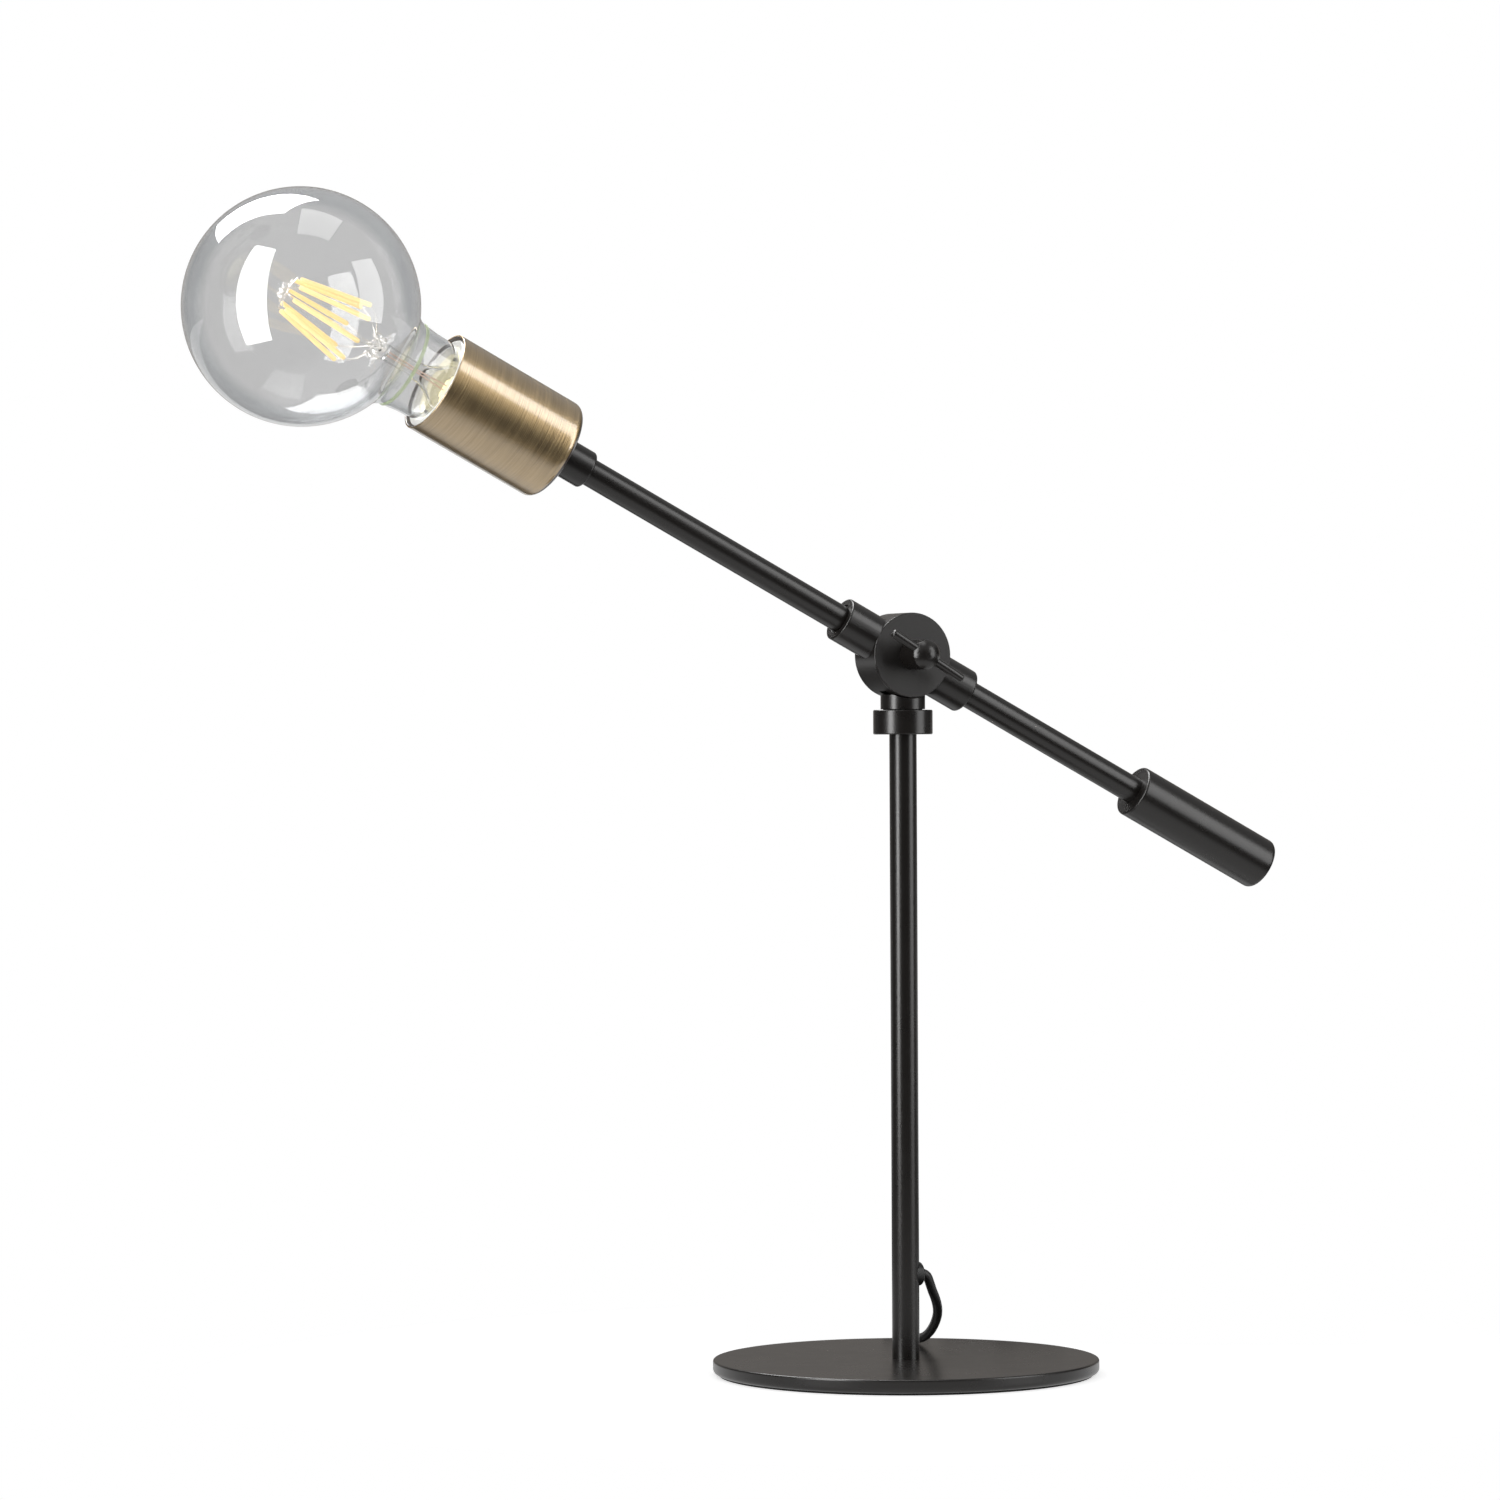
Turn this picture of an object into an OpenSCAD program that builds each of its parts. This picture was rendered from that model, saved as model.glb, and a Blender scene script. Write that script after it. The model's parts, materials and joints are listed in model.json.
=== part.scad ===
// Table lamp with a swivelling, tilting balance arm.
// Millimetres. The origin is the centre of the foot's underside, +Z is up,
// the arm lies in the XZ plane with the bulb towards -X and the weight towards +X,
// and the thumb screw is on the -Y side.

/* [Foot] */
// Diameter of the round steel foot
base_d = 161; // [120:1:240]
// Thickness of the steel foot
base_h = 5.7; // [5:0.1:10]
// Radius of the foot's rounded upper rim
base_edge = 0.8; // [0.3:0.1:2]
// Radius of the foot's rounded lower rim
base_under = 2; // [0.5:0.1:3]
// Thickness of the soft pad under the foot
pad_h = 0.8; // [0.5:0.1:3]

/* [Stem] */
// Outside diameter of the stem and of both arm rods
rod_d = 11.4; // [11:0.1:13]
// Wall of the stem and rods
rod_wall = 1.3; // [1:0.1:1.6]
// Height of the arm's pivot above the table
pivot_z = 299.5; // [220:0.5:420]
// Height of the cord's exit above the table
exit_z = 41.5; // [25:0.5:80]

/* [Swivel] */
// Diameter of the collar on top of the stem
collar_d = 24.8; // [22:0.1:30]
// Height of the collar
collar_h = 10.2; // [9.5:0.1:16]
// Diameter of the swivelling neck
neck_d = 18.6; // [17.6:0.1:20]
// Height of the neck's cylinder above the collar, up to the knuckle drum's lowest point
neck_h = 4.7; // [4:0.1:10]
// Furthest turn of the swivel to each side, in degrees
swivel_turn = 160; // [120:5:160]

/* [Knuckle] */
// Diameter of the drum
drum_d = 35.4; // [34:0.1:44]
// Thickness of the drum
drum_t = 18.8; // [18:0.1:22]
// Outside diameter of the cross sleeve
sleeve_d = 18.8; // [17:0.1:18.8]
// Length of the cross sleeve
sleeve_l = 65.6; // [56:0.1:90]
// Upward slope of the arm as it stands, in degrees
tilt = 27.5; // [15:0.5:28]
// How far the bulb end can still rise, in degrees
tilt_up = 2; // [1:0.5:2]
// How far the bulb end can be lowered, in degrees
tilt_down = 26; // [10:1:35]

/* [Thumb screw] */
// Diameter of the screw's round head
hub_d = 12.2; // [10:0.1:16]
// Length of the head from the drum to the edge of its dome
hub_l = 12.8; // [11:0.1:18]
// Height of the dome
dome_h = 3.4; // [2:0.1:5]
// Diameter of the cross bar
bar_d = 3.6; // [3:0.1:5]
// Length of the cross bar
bar_l = 37.5; // [26:0.1:60]
// Slope of the cross bar as it stands, in degrees
bar_slope = 30.8; // [0:0.2:90]
// How far the bar has slid through the head
bar_slip = 1; // [0:0.1:5]

/* [Arm] */
// Distance from the pivot to the back of the lampholder cup
cup_s = 176.9; // [140:0.1:260]
// Outside diameter of the cup
cup_d = 42.5; // [42.5:0.1:50]
// Length of the cup
cup_l = 59.6; // [58:0.1:72]
// Wall of the cup
cup_wall = 0.9; // [0.6:0.1:1.1]
// Radius of the cup's rounded back edge
cup_edge = 3.8; // [2:0.1:6]
// Diameter of the black ferrule behind the cup
ferrule_d = 15.9; // [14.6:0.1:18]
// Length of the ferrule
ferrule_l = 15.3; // [12:0.1:22]
// Distance from the pivot to the counterweight
weight_s = 123.7; // [90:0.1:160]
// Diameter of the counterweight
weight_d = 22.3; // [19:0.1:30]
// Length of the counterweight
weight_l = 70.5; // [50:0.1:90]

/* [Bulb] */
// Diameter of the glass globe
globe_d = 95; // [92:0.5:97]
// Diameter of the glass neck where it leaves the cup
glass_neck_d = 34; // [31:0.1:35]
// Wall of the glass
glass_wall = 0.8; // [0.6:0.1:1.2]
// Length of one filament rod
filament_l = 31.5; // [24:0.5:34]
// Diameter of one filament rod
filament_d = 2; // [1.2:0.1:2.6]
// Number of filament rods
filaments = 8; // [4:2:8]
// How far the bulb hangs below the arm's own line, in degrees
bulb_sag = 0.75; // [0:0.05:0.9]
// How far the glass foot and the rods lean in the globe, in degrees
foot_lean = 1.5; // [0:0.1:2]

/* [Cord] */
// Diameter of the cord
cord_d = 4; // [3:0.1:5]
// Mean radius of the coil's turns
coil_r = 24; // [22:0.5:26]
// Length of the inline switch
switch_l = 60; // [50:1:66]
// Width of the inline switch
switch_w = 20; // [16:0.5:22]
// Height of the inline switch
switch_h = 13; // [11:0.5:16]

/* [Hidden] */
$fn = 96;

black = [0.13, 0.13, 0.14];
steel = [0.62, 0.63, 0.65];
brass = [0.68, 0.58, 0.42];
white = [0.95, 0.94, 0.90];
rubber = [0.07, 0.07, 0.07];
clear = [0.80, 0.85, 0.88, 0.35];
amber = [0.95, 0.80, 0.25];
ivory = [0.90, 0.86, 0.66];

// A fit that turns, and a fit that is pushed or screwed home, both as radial clearance.
run_gap = 0.05;
seat_gap = 0.03;
// Clearance between faces that pass each other.
pass_gap = 0.35;

// Points of a quarter round of radius r about (x, z), from angle a to angle a + 90.
function quarter(x, z, r, a) = [for (i = [0:6]) [x + r * cos(a + 15 * i), z + r * sin(a + 15 * i)]];

// A solid bar on +Z with its two rims rounded, low rim r1 and high rim r2.
module bar(d, l, r1, r2) {
    rotate_extrude()
        polygon(concat(
            [[0, 0]],
            quarter(d / 2 - r1, r1, r1, -90),
            quarter(d / 2 - r2, l - r2, r2, 0),
            [[0, l]]
        ));
}

// ---- heights on the stem
foot_top = pad_h + base_h;
drum_low = pivot_z - drum_d / 2;
washer_t = 0.3;
collar_top = drum_low - neck_h - washer_t;
collar_low = collar_top - collar_h;
stem_seat = 5;
stem_top = collar_low + stem_seat;
rod_id = rod_d - 2 * rod_wall;

// ---- nipple, washer and nut that hold the stem on the foot
nipple_d = 10;
nipple_bore = 7;
nipple_in = 14;
nut_af = 14;
nut_h = 2.2;
lock_t = 0.9;
sink_d = 26;
sink_h = nut_h + lock_t + 0.4;

module base_plate() {
    color(black) translate([0, 0, pad_h]) difference() {
        bar(base_d, base_h, base_under, base_edge);
        translate([0, 0, -1]) cylinder(d = sink_d, h = 1 + sink_h);
        translate([0, 0, -1]) cylinder(d = nipple_d + 2 * seat_gap, h = base_h + 2);
    }
}

module base_pad() {
    color(rubber) cylinder(d = base_d - 2 * base_under - 1, h = pad_h);
}

module base_washer() {
    color(steel) translate([0, 0, pad_h + sink_h - lock_t]) difference() {
        cylinder(d = 20, h = lock_t);
        translate([0, 0, -1]) cylinder(d = nipple_d + 2 * seat_gap, h = lock_t + 2);
    }
}

module base_nut() {
    color(steel) translate([0, 0, pad_h + sink_h - lock_t - nut_h]) difference() {
        cylinder(d = nut_af / cos(30), h = nut_h, $fn = 6);
        translate([0, 0, -1]) cylinder(d = nipple_d + 2 * seat_gap, h = nut_h + 2);
    }
}

module base_nipple() {
    low = pad_h + 0.3;
    color(steel) translate([0, 0, low]) difference() {
        cylinder(d = nipple_d, h = foot_top + nipple_in - low);
        translate([0, 0, -1]) cylinder(d = nipple_bore, h = foot_top + nipple_in + 2);
    }
}

exit_bore = 6.4;
module stem_tube() {
    color(black) difference() {
        translate([0, 0, foot_top]) cylinder(d = rod_d, h = stem_top - foot_top);
        translate([0, 0, foot_top - 1]) cylinder(d = nipple_d + 2 * seat_gap, h = nipple_in + 1.5);
        translate([0, 0, foot_top - 1]) cylinder(d = rod_id, h = stem_top);
        translate([0, 0, exit_z]) rotate([0, 90, 0]) cylinder(d = exit_bore, h = rod_d);
    }
}

// ---- grommet that the cord comes out of, on the weight's side of the stem
flange_d = 10;
flange_out = 1.2;
module cord_grommet() {
    color(rubber) difference() {
        union() {
            intersection() {
                translate([0, 0, exit_z]) rotate([0, 90, 0])
                    rotate_extrude()
                        polygon(concat(
                            [[0, rod_d / 2 - 2.8], [flange_d / 2, rod_d / 2 - 2.8]],
                            quarter(flange_d / 2 - 0.9, rod_d / 2 + flange_out - 0.9, 0.9, 0),
                            [[0, rod_d / 2 + flange_out]]
                        ));
                difference() {
                    translate([0, -rod_d, 0]) cube([rod_d, 2 * rod_d, 2 * exit_z]);
                    translate([0, 0, -1]) cylinder(d = rod_d, h = 2 * exit_z + 2);
                }
            }
            translate([rod_d / 2 - rod_wall - 1, 0, exit_z]) rotate([0, 90, 0])
                cylinder(d = exit_bore - 2 * seat_gap, h = rod_wall + 1.2);
        }
        translate([0, 0, exit_z]) rotate([0, 90, 0]) cylinder(d = cord_d + 2 * seat_gap, h = rod_d);
    }
}

// ---- the cord's inner end, up the stem
lead_d = 3;
module stem_lead() {
    bend = 3;
    color(rubber) union() {
        translate([rod_d / 2 + flange_out, 0, exit_z]) rotate([0, -90, 0])
            cylinder(d = cord_d, h = rod_d / 2 + flange_out - 2.2);
        translate([0, 0, exit_z - 2.2]) cylinder(d = cord_d, h = stem_top - 6 - exit_z + 2.2);
        translate([0, 0, exit_z]) rotate([0, 90, 0]) cylinder(d = cord_d, h = bend);
    }
}

// ---- collar, neck and the screw that holds the neck in
spigot_d = 13;
spigot_l = 4.6;
groove_w = 2.2;
groove_h = 1.2;
groove_z = collar_top - 2.6;
collar_screw_d = 2;
tip_r = spigot_d / 2 - 0.8;
stop_w = 2 * (tip_r * sin(180 - swivel_turn) - collar_screw_d / 2 - 0.15);
module collar() {
    color(black) difference() {
        translate([0, 0, collar_low]) bar(collar_d, collar_h, 0.5, 0.5);
        translate([0, 0, collar_low - 1]) cylinder(d = rod_d + 2 * seat_gap, h = stem_seat + 1);
        translate([0, 0, collar_low - 1]) cylinder(d = rod_id, h = collar_h + 2);
        translate([0, 0, collar_top - spigot_l - 0.2])
            cylinder(d = spigot_d + 2 * run_gap, h = spigot_l + 1);
        translate([0, 0, groove_z]) rotate([-90, 0, 0]) cylinder(d = collar_screw_d, h = collar_d);
    }
}

module collar_screw() {
    color(steel) translate([0, tip_r, groove_z]) rotate([-90, 0, 0]) difference() {
        cylinder(d = collar_screw_d - 2 * seat_gap, h = (collar_d - spigot_d) / 2 + 0.5);
        translate([0, 0, (collar_d - spigot_d) / 2 - 0.8]) cylinder(d = 1.1, h = 3, $fn = 6);
    }
}

module swivel_washer() {
    color(rubber) translate([0, 0, collar_top]) difference() {
        cylinder(d = neck_d - 2.2, h = washer_t);
        translate([0, 0, -1]) cylinder(d = spigot_d + 2 * run_gap, h = washer_t + 2);
    }
}

// ---- pivot inside the drum
shank_d = 5;
eye_d = 11;
eye_t = 5;
post_w = 3.4;
pivot_washer_t = 0.5;
chamber_w = eye_t + 2 * pivot_washer_t;
chamber_r = eye_d / 2 + 0.7;
neck_top = pivot_z - (neck_d / 2 * tan(tilt + tilt_up) + sleeve_d / 2 / cos(tilt + tilt_up)) - pass_gap;
wire_d = 2.3;
module swivel_neck() {
    color(black) difference() {
        union() {
            difference() {
                translate([0, 0, collar_top + washer_t])
                    cylinder(d = neck_d, h = neck_top - collar_top - washer_t);
                translate([0, neck_d, pivot_z]) rotate([90, 0, 0])
                    cylinder(d = drum_d + 2 * pass_gap, h = 2 * neck_d);
            }
            translate([0, 0, collar_top + 0.2 - spigot_l])
                cylinder(d = spigot_d, h = spigot_l + washer_t + 1);
            translate([-post_w / 2, -eye_t / 2, collar_top + 1])
                cube([post_w, eye_t, pivot_z - collar_top - 1]);
            translate([0, eye_t / 2, pivot_z]) rotate([90, 0, 0]) cylinder(d = eye_d, h = eye_t);
        }
        translate([0, eye_t, pivot_z]) rotate([90, 0, 0])
            cylinder(d = shank_d + 2 * run_gap, h = 2 * eye_t);
        for (side = [-1, 1])
            translate([0, side * 3.65, collar_top - spigot_l - 1]) cylinder(d = wire_d, h = 20);
        // a groove that stops short of a full turn takes the collar screw's tip
        difference() {
            translate([0, 0, groove_z - groove_w / 2]) difference() {
                cylinder(d = spigot_d + 2, h = groove_w);
                translate([0, 0, -1]) cylinder(d = spigot_d - 2 * groove_h, h = groove_w + 2);
            }
            translate([-stop_w / 2, -spigot_d, groove_z - groove_w]) cube([stop_w, spigot_d, 2 * groove_w]);
        }
    }
}

// Places children of the arm, whose own axis is X with the bulb towards -X.
module on_arm() {
    translate([0, 0, pivot_z]) rotate([0, tilt, 0]) children();
}

// Puts +Z of its children along the arm towards the bulb, starting s from the pivot.
module along(s) {
    on_arm() translate([-s, 0, 0]) rotate([0, -90, 0]) children();
}

// ---- knuckle: drum and cross sleeve in one casting
rod_in = sleeve_l / 2 - 9.5;
mouth_d = 13;
mouth_in = 0.6;
sleeve_edge = 0.6;
nut_pocket = 3.2;
pivot_af = 8;
module drum_round() {
    rotate([90, 0, 0]) translate([0, 0, -drum_t / 2]) bar(drum_d, drum_t, 0.45, 0.45);
}

// The point at distance r down the post and w beside it, with the post at angle a in the drum.
function away(a, w, r) = [r * sin(a) + w * cos(a), w * sin(a) - r * cos(a)];

module knuckle() {
    clear_post = post_w / 2 + pass_gap;
    low = tilt - tilt_down;
    high = tilt + tilt_up;
    color(black) on_arm() difference() {
        union() {
            drum_round();
            translate([sleeve_l / 2, 0, 0]) rotate([0, -90, 0]) bar(sleeve_d, sleeve_l, 1.1, sleeve_edge);
        }
        for (side = [-1, 1]) {
            rotate([0, 90 * side, 0]) translate([0, 0, sleeve_l / 2 - rod_in])
                cylinder(d = rod_d + 2 * seat_gap, h = rod_in + 1);
            rotate([0, 90 * side, 0]) translate([0, 0, sleeve_l / 2 - mouth_in])
                cylinder(d = mouth_d, h = mouth_in + 1);
        }
        rotate([0, -90, 0]) cylinder(d = 5.2, h = sleeve_l / 2);
        // chamber for the eye, and the slot that its post swings in
        rotate([90, 0, 0]) translate([0, 0, -chamber_w / 2]) cylinder(r = chamber_r, h = chamber_w);
        rotate([90, 0, 0]) translate([0, 0, -chamber_w / 2]) linear_extrude(chamber_w)
            polygon([
                away(low, -clear_post, 0), away(low, -clear_post, drum_d),
                away((low + high) / 2, 0, 1.2 * drum_d),
                away(high, clear_post, drum_d), away(high, clear_post, 0)
            ]);
        rotate([90, 0, 0]) translate([0, 0, -drum_t]) cylinder(d = shank_d + 2 * run_gap, h = 2 * drum_t);
        translate([0, drum_t / 2 - nut_pocket, 0]) rotate([-90, 0, 0])
            cylinder(d = pivot_af / cos(30) + 0.1, h = nut_pocket + 1, $fn = 6);
    }
}

module friction_washer(side) {
    t = pivot_washer_t;
    color(brass) on_arm() translate([0, side * (eye_t + t) / 2, 0]) rotate([90, 0, 0]) difference() {
        translate([0, 0, -t / 2]) cylinder(d = eye_d, h = t);
        translate([0, 0, -t]) cylinder(d = shank_d + 2 * run_gap, h = 2 * t);
    }
}

module friction_washer_front() { friction_washer(-1); }
module friction_washer_rear() { friction_washer(1); }

module pivot_nut() {
    color(steel) on_arm() translate([0, drum_t / 2 - nut_pocket, 0]) rotate([-90, 0, 0]) difference() {
        cylinder(d = pivot_af / cos(30), h = nut_pocket - 0.2, $fn = 6);
        translate([0, 0, -1]) cylinder(d = shank_d + 2 * run_gap, h = nut_pocket + 2);
    }
}

// ---- thumb screw: domed head, shank and sliding cross bar
bar_z = hub_l - 1;
module screw_head() {
    dome_r = (hub_d * hub_d / 4 + dome_h * dome_h) / (2 * dome_h);
    color(black) translate([0, -drum_t / 2, pivot_z]) rotate([90, 0, 0]) difference() {
        union() {
            rotate_extrude()
                polygon(concat(
                    [[0, 0]],
                    quarter(hub_d / 2 - 0.5, 0.5, 0.5, -90),
                    [for (i = [0:12]) let (z = dome_h * i / 12)
                        [sqrt(max(0, dome_r * dome_r - pow(dome_r - dome_h + z, 2))), hub_l + z]]
                ));
            translate([0, 0, -drum_t + 0.6]) cylinder(d = shank_d, h = drum_t);
        }
        translate([0, 0, bar_z]) rotate([0, 0, -bar_slope]) rotate([0, 90, 0]) translate([0, 0, -hub_d])
            cylinder(d = bar_d + 2 * seat_gap, h = 2 * hub_d);
    }
}

module screw_bar() {
    color(black) translate([0, -drum_t / 2 - bar_z, pivot_z]) rotate([0, bar_slope + 90, 0])
        translate([0, 0, -bar_l / 2 + bar_slip]) bar(bar_d, bar_l, 0.9, 0.9);
}

// ---- rods and counterweight
rod_start = sleeve_l / 2 - rod_in + 0.2;
module arm_rod(len) {
    difference() {
        cylinder(d = rod_d, h = len);
        translate([0, 0, -1]) cylinder(d = rod_id, h = len + 2);
    }
}

rod_seat = 8;
module front_rod() {
    color(black) along(rod_start) arm_rod(cup_s - ferrule_l + rod_seat - rod_start);
}

weight_in = 42;
module rear_rod() {
    color(black) on_arm() translate([rod_start, 0, 0]) rotate([0, 90, 0])
        arm_rod(weight_s + weight_in - rod_start);
}

weight_screw_d = 4;
module counterweight() {
    color(black) on_arm() translate([weight_s, 0, 0]) rotate([0, 90, 0]) difference() {
        bar(weight_d, weight_l, 0.8, 2.2);
        translate([0, 0, -1]) cylinder(d = rod_d + 2 * seat_gap, h = weight_in + 1.5);
        translate([0, 0, 30]) rotate([-90, 0, 0]) cylinder(d = weight_screw_d, h = weight_d);
    }
}

module weight_screw() {
    color(steel) on_arm()
        translate([weight_s + 30, rod_d / 2 + seat_gap, 0]) rotate([-90, 0, 0]) difference() {
        cylinder(d = weight_screw_d - 2 * seat_gap, h = (weight_d - rod_d) / 2 - 0.8);
        translate([0, 0, (weight_d - rod_d) / 2 - 2.6]) cylinder(d = 2.2, h = 3, $fn = 6);
    }
}

// ---- ferrule, cup and lampholder
cup_nipple_d = 9.9;
cup_nipple_l = 18.8;
cup_nut_h = 3;
module ferrule() {
    color(black) along(cup_s - ferrule_l) difference() {
        bar(ferrule_d, ferrule_l, 1.2, 0.3);
        translate([0, 0, -1]) cylinder(d = rod_d + 2 * seat_gap, h = rod_seat + 1.1);
        translate([0, 0, -1]) cylinder(d = cup_nipple_d + 2 * seat_gap, h = ferrule_l + 2);
    }
}

nipple_s = cup_s - ferrule_l + rod_seat + 0.3;
nipple_end = nipple_s + cup_nipple_l;
module cup_nipple() {
    color(steel) along(nipple_s) difference() {
        cylinder(d = cup_nipple_d, h = cup_nipple_l);
        translate([0, 0, -1]) cylinder(d = 7, h = cup_nipple_l + 2);
    }
}

cup_back = 1.5;
module cup_nut() {
    color(steel) along(cup_s + cup_back) difference() {
        cylinder(d = nut_af / cos(30), h = cup_nut_h, $fn = 6);
        translate([0, 0, -1]) cylinder(d = cup_nipple_d + 2 * seat_gap, h = cup_nut_h + 2);
    }
}

cup_in = cup_d / 2 - cup_wall;
module cup() {
    color(brass) along(cup_s) rotate_extrude()
        polygon(concat(
            [[cup_nipple_d / 2 + seat_gap, 0]],
            quarter(cup_d / 2 - cup_edge, cup_edge, cup_edge, -90),
            [[cup_d / 2, cup_l - 0.25], [cup_d / 2 - 0.25, cup_l]],
            [[cup_in + 0.2, cup_l], [cup_in, cup_l - 0.2]],
            [for (i = [0:6]) let (r = cup_edge - cup_wall)
                [cup_in - r + r * cos(15 * i), cup_back + r - r * sin(15 * i)]],
            [[cup_nipple_d / 2 + seat_gap, cup_back]]
        ));
}

holder_s = cup_s + cup_back + cup_nut_h + 0.2;
holder_d = 36;
ring_s = cup_s + cup_l - 24.5;
ring_l = 23.8;
lip_in = 16.7;
shell_d = 28.4;
shell_t = 0.6;
// distances from the globe's centre: the cup's mouth, the cap's rim, the end of the glass, the tip
mouth_z = 63.5;
cap_z = 67.6;
seal_z = 71.4;
tip_z = 89.9;
globe_s = cup_s + cup_l + mouth_z;
tip_s = globe_s - tip_z;
shell_s = tip_s - 4;
post_d = 5.2;
post_s = nipple_end + 0.6;
holder_l = ring_s - holder_s;
module holder_body() {
    color(white) along(holder_s) difference() {
        bar(holder_d, holder_l, 4, 0.3);
        translate([0, 0, -1])
            cylinder(d = cup_nipple_d + 2 * seat_gap, h = 1 + nipple_end + 0.3 - holder_s);
        translate([0, 0, -1]) cylinder(d = post_d + 0.2, h = holder_l);
        translate([0, 0, shell_s - holder_s]) cylinder(d = shell_d + 2 * seat_gap, h = holder_l);
    }
}

module holder_ring() {
    out = cup_in - 0.15;
    lip_step = 0.75;
    color(white) along(ring_s) rotate_extrude()
        polygon(concat(
            [[shell_d / 2 + seat_gap, 0], [out, 0], [out, ring_l - 5], [out - lip_step, ring_l - 4]],
            [for (i = [0:6]) [out - lip_step - 0.9 + 0.9 * cos(15 * i), ring_l - 0.9 + 0.9 * sin(15 * i)]],
            quarter(lip_in + 0.5, ring_l - 0.5, 0.5, 90),
            [[lip_in - 0.05, ring_l - 1], [shell_d / 2 + 0.35, ring_l - 3.4],
             [shell_d / 2 - shell_t - 0.1, ring_l - 4.6], [shell_d / 2 - shell_t - 0.1, ring_l - 5.2],
             [shell_d / 2 + seat_gap, ring_l - 5.2]]
        ));
}

module holder_shell() {
    color(brass) along(shell_s) difference() {
        cylinder(d = shell_d, h = ring_s + ring_l - 5.4 - shell_s);
        translate([0, 0, shell_t]) cylinder(d = shell_d - 2 * shell_t, h = 60);
        translate([0, 0, -1]) cylinder(d = 9, h = 5);
    }
}

module holder_contact() {
    color(brass) along(post_s) union() {
        cylinder(d = post_d, h = shell_s - post_s);
        cylinder(d = 4, h = tip_s - 0.3 - post_s);
    }
}

module arm_lead() {
    color(rubber) along(rod_start + 2) cylinder(d = lead_d, h = post_s - 0.3 - rod_start - 2);
}

// ---- bulb: it sags a little about its tip; z runs from the globe's centre towards the pivot
module on_bulb() {
    on_arm() translate([-tip_s, 0, 0]) rotate([0, -bulb_sag, 0]) translate([-tip_z, 0, 0])
        rotate([0, 90, 0]) children();
}

// Radius of the glass at distance z from the globe's centre, with a hollow blend into the neck.
neck_r = glass_neck_d / 2;
blend_r = 9;
end_r = 12;
function glass_out(g) = let (
    r = globe_d / 2 - g,
    n = neck_r + 1 - g,
    b = blend_r + g,
    h = sqrt(pow(r + b, 2) - pow(n + b, 2)),
    t = atan2(h, n + b)
) concat(
    [for (i = [0:40]) let (a = -90 + (90 + t) * i / 40) [r * cos(a), r * sin(a)]],
    [for (i = [1:8]) let (a = 180 + t - t * i / 8) [n + b + b * cos(a), h + b * sin(a)]],
    [[neck_r + 0.4 - g, h + 0.5 * (cap_z - 8.2 - h)], [neck_r - g, cap_z - 5.9]],
    [[neck_r - 0.9 - g, cap_z - 3.8]],
    [[neck_r - 2.4 - g, cap_z - 1.9], [end_r + 0.3 - g, cap_z - 0.4], [end_r - g, seal_z]]
);
module bulb_glass() {
    outer = glass_out(0);
    inner = glass_out(glass_wall);
    color(clear) on_bulb() rotate_extrude()
        polygon(concat(
            [for (p = outer) [max(0, p[0]), p[1]]],
            [for (i = [len(inner) - 1:-1:0]) [max(0, inner[i][0]), inner[i][1]]]
        ));
}

cap_l = 18.5;
cap_d = 26.4;
pitch = 3.6;
module bulb_cap() {
    // the rolled thread's ridges, one for each turn
    steps = 40;
    color(steel) on_bulb() translate([0, 0, cap_z]) rotate_extrude()
        polygon(concat(
            [[cap_d / 2 - 0.3, 0]],
            [for (i = [0:steps]) let (z = 3 + (cap_l - 5.5) * i / steps)
                [cap_d / 2 - 0.45 + 0.45 * cos(360 * (z - 3) / pitch), z]],
            [[cap_d / 2 - 3, cap_l]],
            [[cap_d / 2 - 3.4, cap_l]],
            [for (i = [steps:-1:0]) let (z = 3 + (cap_l - 5.5) * i / steps)
                [cap_d / 2 - 0.85 + 0.45 * cos(360 * (z - 3) / pitch), z]],
            [[cap_d / 2 - 0.7, 0]]
        ));
}

module bulb_insulator() {
    color(rubber) on_bulb() translate([0, 0, cap_z + cap_l]) rotate_extrude()
        polygon([[0, -0.8], [cap_d / 2 - 3.6, -0.8], [cap_d / 2 - 3.5, 0], [5.2, 2.4], [0, 2.4]]);
}

module bulb_tip() {
    low = cap_z + cap_l + 2.4;
    color(steel) on_bulb() translate([0, 0, low]) bar(9.4, tip_z - low, 0.2, 1);
}

// The cement that holds the cap: a bead under the glass's shoulder, and a lining inside the cap.
module bulb_cement() {
    in_cap = cap_d / 2 - 1.35;
    color(ivory) on_bulb() rotate_extrude()
        polygon([
            [end_r + 0.04, seal_z - 0.2], [end_r + 0.34, cap_z - 0.35], [neck_r - 2.5, cap_z - 1.65],
            [neck_r - 2.7, cap_z - 0.9], [cap_d / 2 + 0.1, cap_z - 0.05], [cap_d / 2 - 0.74, cap_z - 0.05],
            [cap_d / 2 - 0.9, seal_z + 0.05], [in_cap, seal_z + 0.6], [in_cap, seal_z + 9],
            [in_cap - 0.8, seal_z + 9], [in_cap - 0.8, seal_z + 0.1], [end_r + 0.04, seal_z + 0.1]
        ]);
}

// The round body that carries the bulb's own circuit, in the cap.
module bulb_driver() {
    color(ivory) on_bulb() translate([0, 0, seal_z + 0.4]) bar(2 * (end_r - 1.6), cap_l - 8.2, 1.2, 0.6);
}

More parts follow.
